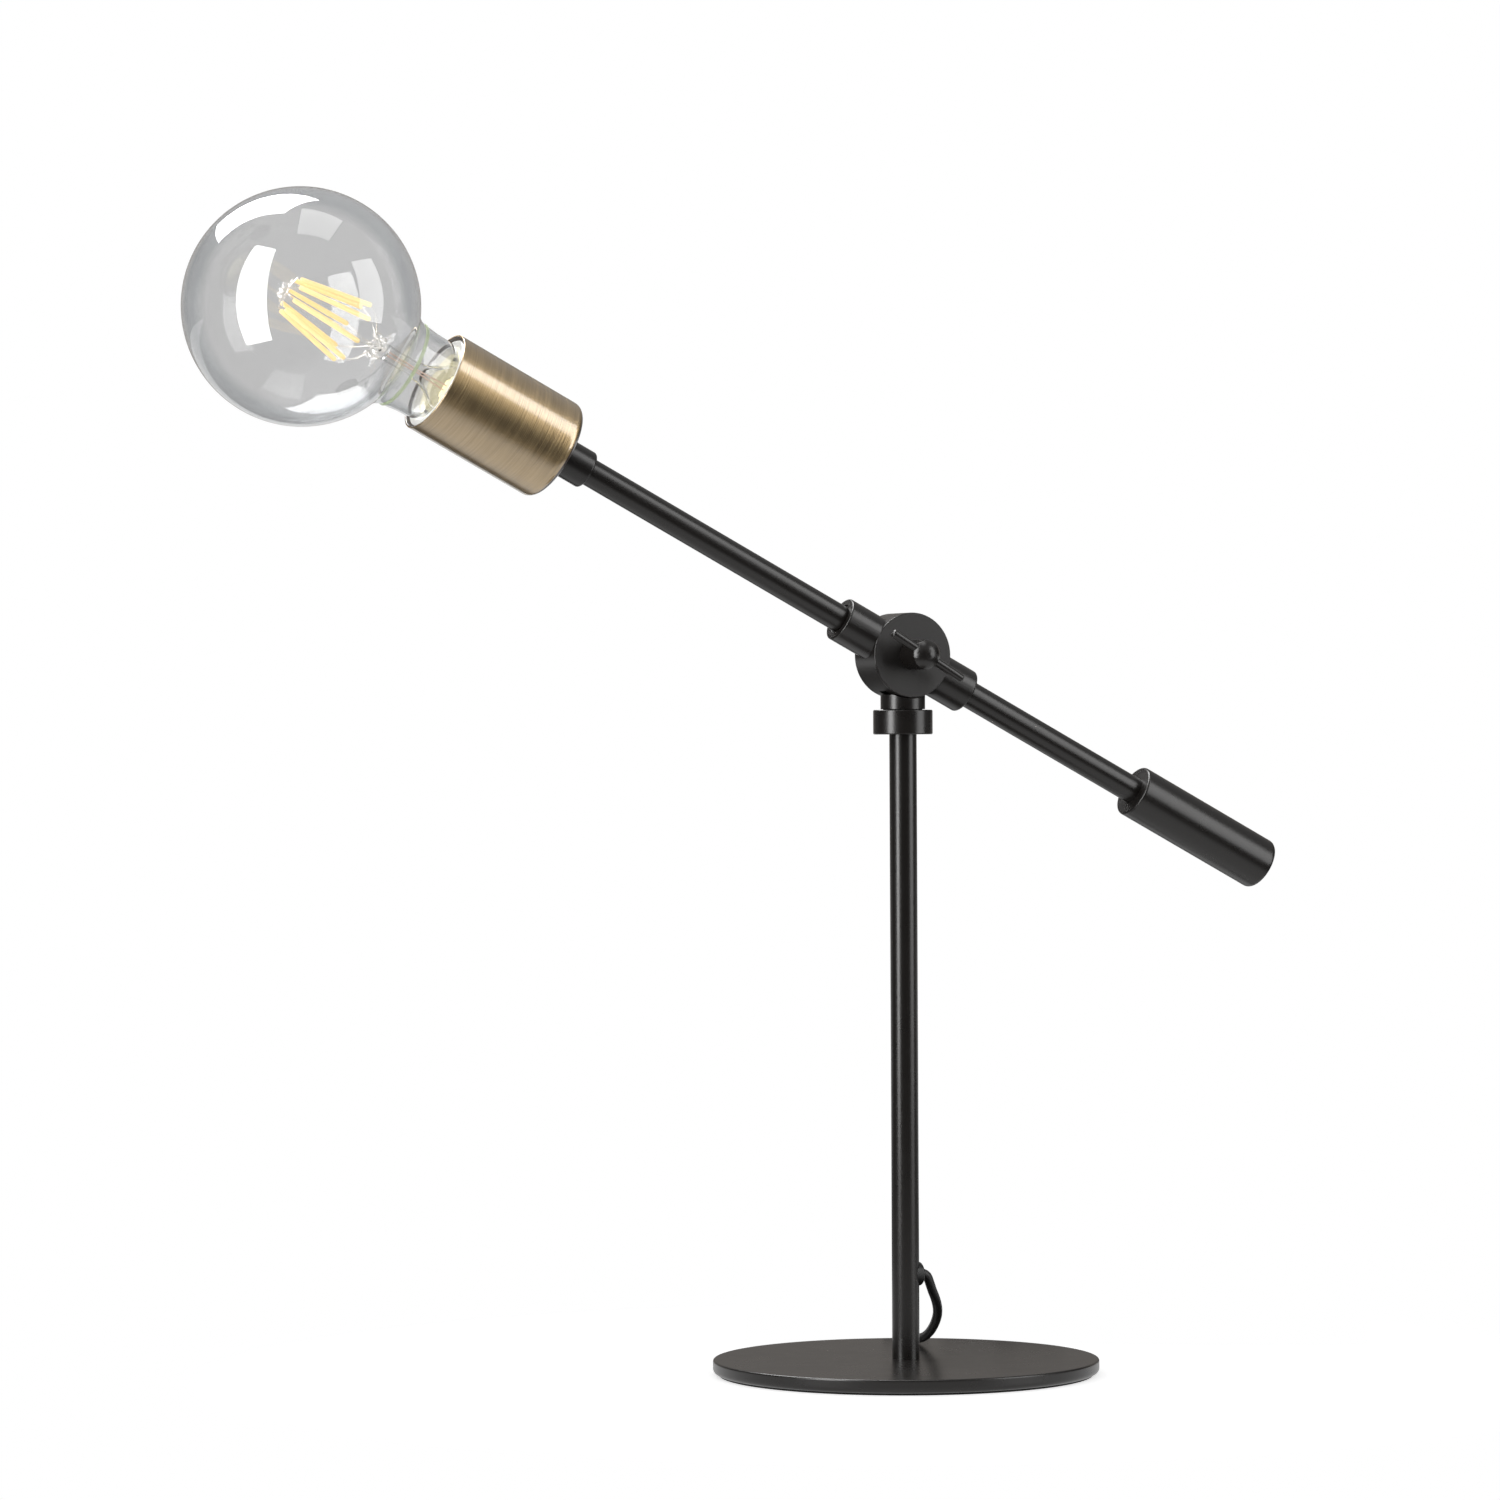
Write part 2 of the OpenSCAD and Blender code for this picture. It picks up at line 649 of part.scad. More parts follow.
// The glass foot: a flare sealed in the neck, and a rod that carries the wires.
hub_low = 35.7;
hub_high = -9.5;
module in_globe() {
    on_bulb() translate([0, 0, seal_z]) rotate([0, foot_lean, 0]) translate([0, 0, -seal_z]) children();
}
module bulb_stem() {
    color(clear) in_globe() rotate_extrude()
        polygon([
            [0, hub_low - 1.5], [1.6, hub_low - 1.5], [2.4, hub_low],
            [2.4, seal_z - 22], [3.2, seal_z - 14],
            [5.2, seal_z - 10], [9, seal_z - 6], [end_r - 1, seal_z - 1.5], [end_r - 1, seal_z - 0.2],
            [8.2, seal_z - 4], [4.2, seal_z - 8.4], [0, seal_z - 11]
        ]);
}

low_r = 13.2;
high_r = 7.3;
fil_in = 11.3;
// Foot and head of filament i, as [radius, turn, z] with z away from the pivot end.
function fil_a(i) = [low_r, 360 * (i + 0.5) / filaments, hub_low - fil_in];
function fil_b(i) = [high_r, 360 * (i + 0.5) / filaments, hub_low - fil_in - fil_drop];
fil_drop = sqrt(pow(filament_l, 2) - pow(low_r - high_r, 2));
wire = 0.6;
module rod_between(r1, z1, r2, z2, d) {
    l = sqrt(pow(r2 - r1, 2) + pow(z2 - z1, 2));
    translate([r1, 0, z1]) rotate([0, atan2(r2 - r1, z2 - z1), 0]) cylinder(d = d, h = l, $fn = 16);
}

module filament_rods() {
    color(amber) in_globe()
        for (i = [0:filaments - 1])
            rotate([0, 0, fil_a(i)[1]]) rod_between(low_r, fil_a(i)[2], high_r, fil_b(i)[2], filament_d);
}

module filament_frame() {
    color(steel) in_globe() {
        translate([0, 0, hub_high]) cylinder(d = 1.2, h = hub_low - hub_high, $fn = 16);
        for (i = [0:filaments - 1]) rotate([0, 0, fil_a(i)[1]]) {
            rod_between(0, hub_low - 0.6, low_r, fil_a(i)[2], wire);
            rod_between(0, hub_high + 0.4, high_r, fil_b(i)[2], wire);
        }
    }
}

// ---- cord: it leaves the stem towards the weight, drops behind the stem and runs straight back
// The run's own frame has u to the side and v back, turned run_turn about the stem.
run_turn = -27;
low_z = cord_d / 2;
switch_v = 116;
switch_z = 6.5;
out_x = rod_d / 2 + flange_out;
function leaving(x) = [x * cos(run_turn), -x * sin(run_turn), exit_z];
run_path = [
    leaving(out_x), leaving(out_x + 1.4), [9, 4.7, 40.2], [10, 5.8, 37.6], [11.1, 7.6, 34.1],
    [12.4, 10.3, 30.5], [13.2, 14, 27], [13.4, 18.5, 23.8], [12.9, 24, 20.5], [11.8, 30.5, 17],
    [10.1, 38, 13.5], [7.7, 46, 10.6], [5, 54.5, 9], [2.4, 63.5, 8.5], [0.6, 72, 8.5],
    [0, 79, 8.4], [0, 86, 7.9], [0, 93, 7.3], [0, 100, 6.8], [0, 108, 6.5], [0, switch_v, switch_z]
];
// ---- coil: 4 layers of a steady spiral, in and out again, turning clockwise from its far side
coil_u = 44;
coil_v = 184.9;
tie_t = 0.9;
layers = 4;
coil_turn = 3285;
coil_pitch = cord_d + 0.6;
layer_h = cord_d + 0.46;
reach = coil_pitch * coil_turn / 360 / layers;
per_layer = coil_turn / layers;
// Share of the way across the winding at turn t: 1 is the outside and 0 the inside.
function across(t) = let (k = floor(min(t, coil_turn - 0.001) / per_layer), f = t / per_layer - k)
    k % 2 == 0 ? 1 - f : f;
// Height in layers: each climb takes the half turn about a reversal.
function climbs(t) = [for (k = [1:layers - 1]) min(1, max(0, (t - k * per_layer + 90) / 180))];
function total(v) = len(v) == 0 ? 0 : v * [for (x = v) 1];
function coil_point(t) = let (
    r = coil_r + (across(t) - 0.5) * reach,
    a = 90 - t
) [coil_u + r * cos(a), coil_v + r * sin(a), low_z + tie_t + layer_h * total(climbs(t))];
coil_steps = round(coil_turn / 15);
coil_in = [coil_u - cord_d, coil_v + coil_r + reach / 2, low_z + tie_t];
link_path = [
    [0, switch_v + switch_l, switch_z], [0, 181, 6.3], [0.8, 188, 5], [3.2, 195, 3.7], [7, 201.6, 3.1],
    [12.4, 207.2, 3], [19, 211.2, 2.9], [26, 213.4, 2.9], [33, 214.1, 2.9], coil_in
];
coil_end = coil_point(coil_turn);
coil_out = coil_end + cord_d * [cos(-45), sin(-45), 0];
coil_path = concat(
    [coil_in], [for (i = [0:coil_steps]) coil_point(coil_turn * i / coil_steps)], [coil_out]
);

plug_z = 6.85;
tail_end = coil_out + [34, -34, plug_z - coil_out[2]];
tail_path = [
    for (i = [0:6]) let (f = i / 6, e = f * f * (3 - 2 * f))
        [coil_out[0] + (tail_end[0] - coil_out[0]) * f, coil_out[1] + (tail_end[1] - coil_out[1]) * f,
         coil_out[2] + (tail_end[2] - coil_out[2]) * e]
];

function unit(v) = v / norm(v);
function heading(p, i) = i == 0 ? unit(p[1] - p[0])
    : i == len(p) - 1 ? unit(p[i] - p[i - 1])
    : unit(unit(p[i + 1] - p[i]) + unit(p[i] - p[i - 1]));
// One ring about point i, square to the heading, with its first corner in the upright plane.
function ring(p, i, d, n) = let (
    h = heading(p, i),
    s = unit(cross(h, abs(h[2]) > 0.95 ? [0, 1, 0] : [0, 0, 1])),
    w = cross(s, h)
) [for (k = [0:n - 1]) p[i] + d / 2 * (cos(360 * (k + 0.5) / n) * s + sin(360 * (k + 0.5) / n) * w)];

// A tube of n sides through the rings of path p.
module tube(p, d, n) {
    rings = len(p);
    polyhedron(
        points = [for (i = [0:rings - 1]) each ring(p, i, d, n)],
        faces = concat(
            [[for (k = [n - 1:-1:0]) k]],
            [[for (k = [0:n - 1]) (rings - 1) * n + k]],
            [for (i = [0:rings - 2], k = [0:n - 1]) let (a = i * n + k, b = i * n + (k + 1) % n)
                each [[a, b, b + n], [a, b + n, a + n]]]
        )
    );
}

module in_run() {
    rotate([0, 0, run_turn]) children();
}

module cord_run() { color(rubber) in_run() tube(run_path, cord_d, 8); }
module cord_link() { color(rubber) in_run() tube(link_path, cord_d, 8); }
module cord_coil() { color(rubber) in_run() tube(coil_path, cord_d, 6); }
module cord_tail() { color(rubber) in_run() tube(tail_path, cord_d, 8); }

function path_length(p) = total([for (i = [1:len(p) - 1]) norm(p[i] - p[i - 1])]);
loops_far = 8;
coil_gap = min([for (i = [0:len(coil_path) - 1], j = [i + loops_far:1:len(coil_path) - 1])
    norm(coil_path[i] - coil_path[j])]) - cord_d;
echo(cord_length = path_length(run_path) + path_length(link_path) + path_length(coil_path)
    + path_length(tail_path) + switch_l);
echo(coil_self_gap = coil_gap);

// A strap round the coil's bundle, on the side next to the stem.
module coil_tie() {
    inside_w = reach + cord_d + 1.4;
    inside_h = layer_h * (layers - 1) + cord_d + 0.5;
    color(rubber) in_run() translate([coil_u, coil_v, 0]) rotate([0, 0, -90])
        translate([coil_r - inside_w / 2 - tie_t, 0, 0]) difference() {
            translate([0, -4, 0]) cube([inside_w + 2 * tie_t, 8, inside_h + 2 * tie_t - 0.3]);
            translate([tie_t, -5, tie_t - 0.3]) cube([inside_w, 10, inside_h]);
        }
}

// ---- inline switch: two half shells about the cord's axis, and a rocker
module switch_plan(h) {
    c = 5;
    x = switch_w / 2;
    linear_extrude(h) polygon([
        [-x + c, 0], [x - c, 0], [x, c + 3], [x, switch_l - c - 3], [x - c, switch_l],
        [-x + c, switch_l], [-x, switch_l - c - 3], [-x, c + 3]
    ]);
}

rocker_l = 17;
rocker_w = 9;
rocker_tilt = 8;
rocker_z = switch_h - 1.5;
module switch_half(z0, z1) {
    w = 1.6;
    difference() {
        translate([0, switch_v, z0]) switch_plan(z1 - z0);
        translate([-switch_w / 2 + 2.6, switch_v + 9, w])
            cube([switch_w - 5.2, switch_l - 18, switch_h - 2 * w]);
    }
}

module switch_base() {
    color(rubber) in_run() switch_half(0, switch_z);
}

module switch_cover() {
    color(rubber) in_run() difference() {
        switch_half(switch_z, switch_h);
        translate([-rocker_w / 2 - 0.4, switch_v + switch_l / 2 - rocker_l / 2 - 0.6, 0])
            cube([rocker_w + 0.8, rocker_l + 1.2, switch_h + 1]);
        translate([-rocker_w / 2 - 1.9, switch_v + switch_l / 2, rocker_z - 1.6]) rotate([0, 90, 0])
            cylinder(d = 1.6 + 2 * run_gap, h = rocker_w + 3.8);
    }
}

module switch_rocker() {
    color(rubber) in_run()
        translate([0, switch_v + switch_l / 2, rocker_z - 1.6]) rotate([rocker_tilt, 0, 0])
        union() {
            rotate([0, 90, 0]) translate([0, 0, -rocker_w / 2]) linear_extrude(rocker_w)
                polygon([
                    [1.6, -3], [1.6, 3], [-0.8, rocker_l / 2], [-3.1, rocker_l / 2], [-2.3, 0],
                    [-3.1, -rocker_l / 2], [-0.8, -rocker_l / 2]
                ]);
            translate([-rocker_w / 2 - 1.7, 0, 0]) rotate([0, 90, 0]) cylinder(d = 1.6, h = rocker_w + 3.4);
        }
}

// ---- flat two-pin plug lying beside the coil
plug_l = 36;
plug_w = 35.3;
plug_t = 13.7;
pin_d = 4;
pin_l = 19;
pin_gap = 18.6;
module at_plug() {
    in_run() translate([tail_end[0], tail_end[1], 0]) rotate([0, 0, -45]) children();
}

module plug_body() {
    color(rubber) at_plug() difference() {
        linear_extrude(plug_t) polygon([
            [0, -5], [0, 5], [9, 7], [20, 15.2], [24, plug_w / 2 - 0.6], [27, plug_w / 2],
            [plug_l, plug_w / 2], [plug_l, -plug_w / 2], [27, -plug_w / 2],
            [24, -plug_w / 2 + 0.6], [20, -15.2], [9, -7]
        ]);
        for (side = [-1, 1]) translate([plug_l - 8, side * pin_gap / 2, plug_z]) rotate([0, 90, 0])
            cylinder(d = pin_d, h = 10);
    }
}

module plug_pin(side) {
    color(steel) at_plug() translate([plug_l - 8, side * pin_gap / 2, plug_z]) rotate([0, 90, 0])
        bar(pin_d, pin_l + 8, 0.2, 1);
}

module plug_pin_left() { plug_pin(-1); }
module plug_pin_right() { plug_pin(1); }

base_plate();
base_pad();
base_nipple();
base_washer();
base_nut();
stem_tube();
cord_grommet();
stem_lead();
collar();
collar_screw();
swivel_washer();
swivel_neck();
knuckle();
friction_washer_front();
friction_washer_rear();
pivot_nut();
screw_head();
screw_bar();
front_rod();
rear_rod();
counterweight();
weight_screw();
ferrule();
cup_nipple();
cup_nut();
cup();
holder_body();
holder_ring();
holder_shell();
holder_contact();
arm_lead();
bulb_glass();
bulb_cap();
bulb_cement();
bulb_driver();
bulb_insulator();
bulb_tip();
bulb_stem();
filament_frame();
filament_rods();
cord_run();
cord_link();
cord_coil();
coil_tie();
cord_tail();
switch_base();
switch_cover();
switch_rocker();
plug_body();
plug_pin_left();
plug_pin_right();
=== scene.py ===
"""Table lamp with a balance arm: its surfaces, finishes, flex and studio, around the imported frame."""
import json
import math

import bmesh
import bpy
import numpy as np
from bpy.props import FloatProperty, FloatVectorProperty, IntProperty, PointerProperty
from mathutils import Matrix, Vector


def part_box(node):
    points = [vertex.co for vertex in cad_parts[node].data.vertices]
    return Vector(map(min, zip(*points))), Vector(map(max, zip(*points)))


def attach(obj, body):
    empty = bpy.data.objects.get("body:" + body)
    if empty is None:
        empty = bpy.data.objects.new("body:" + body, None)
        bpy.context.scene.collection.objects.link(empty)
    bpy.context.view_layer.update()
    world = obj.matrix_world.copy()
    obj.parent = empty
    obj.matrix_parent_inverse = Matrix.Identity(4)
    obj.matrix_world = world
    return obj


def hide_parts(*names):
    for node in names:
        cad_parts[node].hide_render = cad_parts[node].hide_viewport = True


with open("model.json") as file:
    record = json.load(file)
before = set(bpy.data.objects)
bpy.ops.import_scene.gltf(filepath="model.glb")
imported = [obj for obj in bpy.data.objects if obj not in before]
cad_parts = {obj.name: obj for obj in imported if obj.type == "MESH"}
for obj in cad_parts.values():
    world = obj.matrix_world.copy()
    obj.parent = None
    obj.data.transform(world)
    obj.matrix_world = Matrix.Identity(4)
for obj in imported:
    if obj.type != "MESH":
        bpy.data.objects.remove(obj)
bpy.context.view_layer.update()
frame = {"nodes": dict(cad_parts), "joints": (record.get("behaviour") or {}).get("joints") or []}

bl_info = {
    "name": "Balance arm table lamp",
    "version": (1, 0, 0),
    "blender": (4, 5, 0),
    "location": "3D View > Sidebar > Lamp",
    "description": "Builds the lamp's surfaces, finishes, flex and studio around its frame",
    "category": "Object",
}

MM = 0.001
JOINTS = {j["name"]: j for j in frame["joints"]}
PIVOT = np.array(JOINTS["arm_tilt"]["pos_m"], float)
TO_BULB = np.array(JOINTS["bulb_turn"]["axis"], float)
TO_BULB /= np.linalg.norm(TO_BULB)
TILT = math.radians(27.5)
TO_ARM_END = np.array([-math.cos(TILT), 0.0, math.sin(TILT)])
UP = np.array([0.0, 0.0, 1.0])
FRONT = np.array([0.0, -1.0, 0.0])
VIEW_TURN = math.radians(27)
SIDE = np.array([math.cos(VIEW_TURN), -math.sin(VIEW_TURN), 0.0])
AWAY = np.array([math.sin(VIEW_TURN), math.cos(VIEW_TURN), 0.0])

# from the pivot to the flat of the drum's face
DRUM_FACE = 9.35 * MM
# the cup in millimetres: its start on the arm's axis, its length, its radius, and where its brushing ends
CUP_S, CUP_L, CUP_R = 176.9, 59.6, 21.25
CUP_BARE = CUP_R - 0.6
# from the globe's centre to the glass's sealed end and to the cap's tip
SEAL_Z, TIP_Z = 71.4, 89.9
# the globe's centre and the cap's tip on the arm's axis
GLOBE_S = CUP_S + CUP_L + 63.5
TIP_S = GLOBE_S - TIP_Z


def on_arm(s):
    """The point of the arm's axis at s millimetres from the pivot towards the bulb."""
    return PIVOT + TO_ARM_END * s * MM


def on_bulb(z):
    """The point of the bulb's own axis at z millimetres from the globe's centre towards the cap."""
    return on_arm(TIP_S) + TO_BULB * (TIP_Z - z) * MM


# the glass foot and the rods lean a little in the globe, about its seal
LEAN = math.asin(TO_BULB[2]) + math.radians(1.5)
TO_HEAD = np.array([-math.cos(LEAN), 0.0, math.sin(LEAN)])
CAGE = np.stack([[-math.sin(LEAN), 0.0, -math.cos(LEAN)], [0.0, 1.0, 0.0], -TO_HEAD], axis=1)


def in_globe(r, turn, z):
    """Points r millimetres off the glass foot's axis at that turn in degrees, at z towards the cap."""
    r, turn, z = np.broadcast_arrays(np.asarray(r, float), np.radians(turn), np.asarray(z, float))
    local = np.stack([r * np.cos(turn), r * np.sin(turn), z - SEAL_Z], axis=-1)
    return on_bulb(SEAL_Z) + local @ CAGE.T * MM


def seen_at(u, v, z):
    """Points u to the side, v behind and z above the foot's centre, as the photograph looks at it."""
    u, v, z = (np.asarray(way, float)[..., None] for way in (u, v, z))
    return u * SIDE + v * AWAY + z * UP


# Surfaces


def turned(axis):
    """Three unit columns x, y and axis, square to each other."""
    axis = np.asarray(axis, float)
    side = np.array([0.0, 1.0, 0.0]) if abs(axis[1]) < 0.9 else np.array([1.0, 0.0, 0.0])
    x = np.cross(side, axis)
    x /= np.linalg.norm(x)
    return np.stack([x, np.cross(axis, x), axis], axis=1)


def put(points, origin, axis):
    """Points whose z runs along axis from origin."""
    return np.asarray(points, float) @ turned(axis).T + np.asarray(origin, float)


def rounded(corners, steps=6, closed=False):
    """A profile of (radius, height, rounding) corners: each is an arc tangent to its two sides, between
    two points a little further out, so that the flats beside it shade as flats."""
    most_of_side, lead_of_arc, lead_of_side = 0.49, 0.35, 0.2
    pts = np.array([c[:2] for c in corners], float)
    out = []
    n = len(pts)
    for i in range(n):
        r = corners[i][2] if len(corners[i]) > 2 else 0.0
        if r <= 0 or (not closed and i in (0, n - 1)):
            out.append(pts[i][None])
            continue
        a, b = pts[i - 1] - pts[i], pts[(i + 1) % n] - pts[i]
        la, lb = np.linalg.norm(a), np.linalg.norm(b)
        a, b = a / la, b / lb
        half = math.acos(float(np.clip(a @ b, -1, 1))) / 2
        reach = min(r / math.tan(half), most_of_side * la, most_of_side * lb)
        r = reach * math.tan(half)
        mid = (a + b) / np.linalg.norm(a + b)
        centre = pts[i] + mid * r / math.sin(half)
        start, end = pts[i] + a * reach - centre, pts[i] + b * reach - centre
        t = np.linspace(0, 1, steps + 1)[:, None]
        turn = math.pi - 2 * half
        arc = (np.sin((1 - t) * turn) * start + np.sin(t * turn) * end) / math.sin(turn)
        lead = min(lead_of_arc * r, lead_of_side * la, lead_of_side * lb)
        out += [(pts[i] + a * (reach + lead))[None], centre + arc, (pts[i] + b * (reach + lead))[None]]
    return np.concatenate(out)


def skin(rows, columns, closed_rows, closed_columns):
    """Quads over a grid of points numbered row by row."""
    i = np.arange(rows if closed_rows else rows - 1)[:, None]
    j = np.arange(columns if closed_columns else columns - 1)[None, :]
    a, b = i * columns + j, i * columns + (j + 1) % columns
    c, d = (i + 1) % rows * columns + (j + 1) % columns, (i + 1) % rows * columns + j
    return np.stack([a, b, c, d], axis=-1).reshape(-1, 4)


def spun(profile, origin, axis, turns=128, closed=False):
    """A surface of revolution: each (radius, height) of the profile goes round the axis, and a radius of
    nothing closes to one point."""
    profile = np.asarray(profile, float)
    angle = np.linspace(0, 2 * math.pi, turns, endpoint=False)
    r, h = profile[:, :1], profile[:, 1:2]
    grid = np.stack([r * np.cos(angle), r * np.sin(angle), h + 0 * angle], axis=-1)
    quads = skin(len(profile), turns, closed, True)
    return put(grid.reshape(-1, 3), origin, axis), quads


def carried(line, radius, sides, outline=None):
    """A tube: a circle of that radius is carried along the line, square to it and without twist, and its
    ends are closed. outline gives the section's radius at each angle."""
    line = np.asarray(line, float)
    ahead = np.gradient(line, axis=0)
    ahead /= np.linalg.norm(ahead, axis=1)[:, None]
    side = np.zeros_like(line)
    first = np.cross(ahead[0], UP)
    if np.linalg.norm(first) < 1e-3:
        first = np.cross(ahead[0], FRONT)
    side[0] = first / np.linalg.norm(first)
    for k in range(1, len(line)):
        step = side[k - 1] - ahead[k] * (side[k - 1] @ ahead[k])
        side[k] = step / np.linalg.norm(step)
    over = np.cross(side, ahead)
    angle = np.linspace(0, 2 * math.pi, sides, endpoint=False)
    reach = radius * (np.ones(sides) if outline is None else outline(angle))
    ring = np.cos(angle)[None, :, None] * side[:, None] + np.sin(angle)[None, :, None] * over[:, None]
    grid = line[:, None] + ring * reach[None, :, None]
    points = np.concatenate([grid.reshape(-1, 3), line[:1], line[-1:]])
    n, last = len(line), (len(line) - 1) * sides
    k = np.arange(sides)
    low = np.stack([k, (k + 1) % sides, np.full(sides, n * sides)], axis=-1)
    high = np.stack([last + (k + 1) % sides, last + k, np.full(sides, n * sides + 1)], axis=-1)
    return points, [*skin(n, sides, False, True).tolist(), *low[:, ::-1].tolist(), *high[:, ::-1].tolist()]


def smooth_line(points, spacing):
    """The line through the points as a Catmull-Rom curve, resampled evenly along its length."""
    p = np.asarray(points, float)
    p = np.concatenate([2 * p[:1] - p[1:2], p, 2 * p[-1:] - p[-2:-1]])
    t = np.linspace(0, 1, 24, endpoint=False)[:, None]
    parts = []
    for a, b, c, d in zip(p, p[1:], p[2:], p[3:]):
        square, cube = 2 * a - 5 * b + 4 * c - d, 3 * b - a - 3 * c + d
        parts.append(0.5 * (2 * b + (c - a) * t + square * t**2 + cube * t**3))
    fine = np.concatenate([*parts, p[-2:-1]])
    along = np.concatenate([[0], np.cumsum(np.linalg.norm(np.diff(fine, axis=0), axis=1))])
    even = np.linspace(0, along[-1], max(2, round(along[-1] / spacing) + 1))
    return np.stack([np.interp(even, along, fine[:, k]) for k in range(3)], axis=-1)


# points closer than this are one, and edges shorter than this go
DOUBLE, SLIVER = 2e-6, 1e-7


def piece(name, surfaces, finish, body, nodes=(), crease=35):
    """One object of one or more (points, faces) surfaces, closed, pointing outwards and smooth but for
    its creases."""
    mesh = bpy.data.meshes.new(name)
    work = bmesh.new()
    for points, faces in surfaces:
        part = bpy.data.meshes.new("part")
        part.from_pydata([tuple(p) for p in points], [], [tuple(f) for f in faces])
        one = bmesh.new()
        one.from_mesh(part)
        bmesh.ops.remove_doubles(one, verts=one.verts, dist=DOUBLE)
        bmesh.ops.dissolve_degenerate(one, dist=SLIVER, edges=one.edges)
        bmesh.ops.recalc_face_normals(one, faces=one.faces)
        if one.calc_volume(signed=True) < 0:
            bmesh.ops.reverse_faces(one, faces=one.faces)
        one.to_mesh(part)
        one.free()
        work.from_mesh(part)
        bpy.data.meshes.remove(part)
    work.to_mesh(mesh)
    work.free()
    mesh.polygons.foreach_set("use_smooth", np.ones(len(mesh.polygons), bool))
    mesh.set_sharp_from_angle(angle=math.radians(crease))
    mesh.update()
    thing = bpy.data.objects.new(name, mesh)
    bpy.context.scene.collection.objects.link(thing)
    mesh.materials.append(finish)
    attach(thing, body)
    if nodes:
        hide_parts(*nodes)
    return thing


def dress(finish, *names):
    """Gives CAD nodes whose shape is right their finish."""
    for name in names:
        node = frame["nodes"][name]
        node.data.materials.clear()
        node.data.materials.append(finish)


# Finishes


class Term:
    """A number in a material's maths: arithmetic on it adds Math nodes."""

    def __init__(self, finish, socket):
        self.finish, self.socket = finish, socket

    def math(self, operation, *others):
        node = self.finish.add("ShaderNodeMath", {"operation": operation}, self, *others)
        return Term(self.finish, node.outputs[0])

    def __add__(self, other):
        return self.math("ADD", other)

    def __sub__(self, other):
        return self.math("SUBTRACT", other)

    def __mul__(self, other):
        return self.math("MULTIPLY", other)

    def __rsub__(self, other):
        return (self * -1.0) + other

    __radd__ = __add__
    __rmul__ = __mul__


class Finish:
    """The nodes of one kind of surface, or of the world."""

    def __init__(self, name, world=False):
        self.made = (bpy.data.worlds if world else bpy.data.materials).new(name)
        self.made.use_nodes = True
        self.tree = self.made.node_tree
        self.tree.nodes.clear()
        self.out = self.tree.nodes.new("ShaderNodeOutputWorld" if world else "ShaderNodeOutputMaterial")

    def fill(self, socket, value):
        """Links a socket to a term or another socket, or else sets its own value."""
        if isinstance(value, Term):
            value = value.socket
        if isinstance(value, bpy.types.NodeSocket):
            self.tree.links.new(value, socket)
        else:
            socket.default_value = value

    def add(self, kind, settings=None, *inputs, **named):
        """A node of that type, with its settings made first and then its sockets filled."""
        node = self.tree.nodes.new(kind)
        for key, value in (settings or {}).items():
            setattr(node, key, value)
        for key, value in [*enumerate(inputs), *((k.replace("_", " "), v) for k, v in named.items())]:
            self.fill(node.inputs[key], value)
        return node

    def place(self):
        """The point on the piece, in metres."""
        return self.add("ShaderNodeTexCoord").outputs["Object"]

    def noise(self, vector, scale, detail=2.0, rough=0.5):
        """A soft noise of that many waves in one unit of the vector."""
        made = self.add("ShaderNodeTexNoise", None, Vector=vector, Scale=scale, Detail=detail,
                        Roughness=rough)
        return Term(self, made.outputs[0])

    def vector(self, operation, *inputs):
        """Vector maths, as its node's outputs."""
        return self.add("ShaderNodeVectorMath", {"operation": operation}, *inputs).outputs

    def along(self, vector, axis, by=1.0):
        """How far a point is along an axis, times a scale."""
        return Term(self, self.vector("DOT_PRODUCT", vector, tuple(np.asarray(axis) * by))["Value"])

    def span(self, term, low, high, to_low, to_high):
        """The term's range low to high as to_low to to_high."""
        made = self.add("ShaderNodeMapRange", None, term, low, high, to_low, to_high)
        return Term(self, made.outputs[0])

    def blend(self, factor, a, b):
        """The colour a where the factor is 0, and b where it's 1."""
        made = self.add("ShaderNodeMix", {"data_type": "RGBA"})
        for socket, value in ((0, factor), (6, a), (7, b)):
            self.fill(made.inputs[socket], value)
        return made.outputs[2]

    def bump(self, height, strength, distance):
        """The surface's direction, tipped by a height."""
        made = self.add("ShaderNodeBump", None, Height=height, Strength=strength, Distance=distance)
        return made.outputs[0]

    def glow(self, strength, colour=(1.0, 1.0, 1.0)):
        """A shader of plain light."""
        return self.add("ShaderNodeEmission", None, (*colour, 1.0), strength).outputs[0]

    def mix(self, factor, a, b):
        """The shader a where the factor is 0, and b where it's 1."""
        return self.add("ShaderNodeMixShader", None, factor, a, b).outputs[0]

    def shown(self, shader):
        """The material or world, with that shader on it."""
        self.tree.links.new(shader, self.out.inputs[0])
        return self.made

    def surface(self, **sockets):
        """The material, with a Principled shader whose sockets are filled."""
        return self.shown(self.add("ShaderNodeBsdfPrincipled", None, **sockets).outputs[0])


def toned(colour, share=1.0):
    """A colour as four numbers, darker or lighter by that share."""
    return (*[float(c) * share for c in colour[:3]], 1.0)


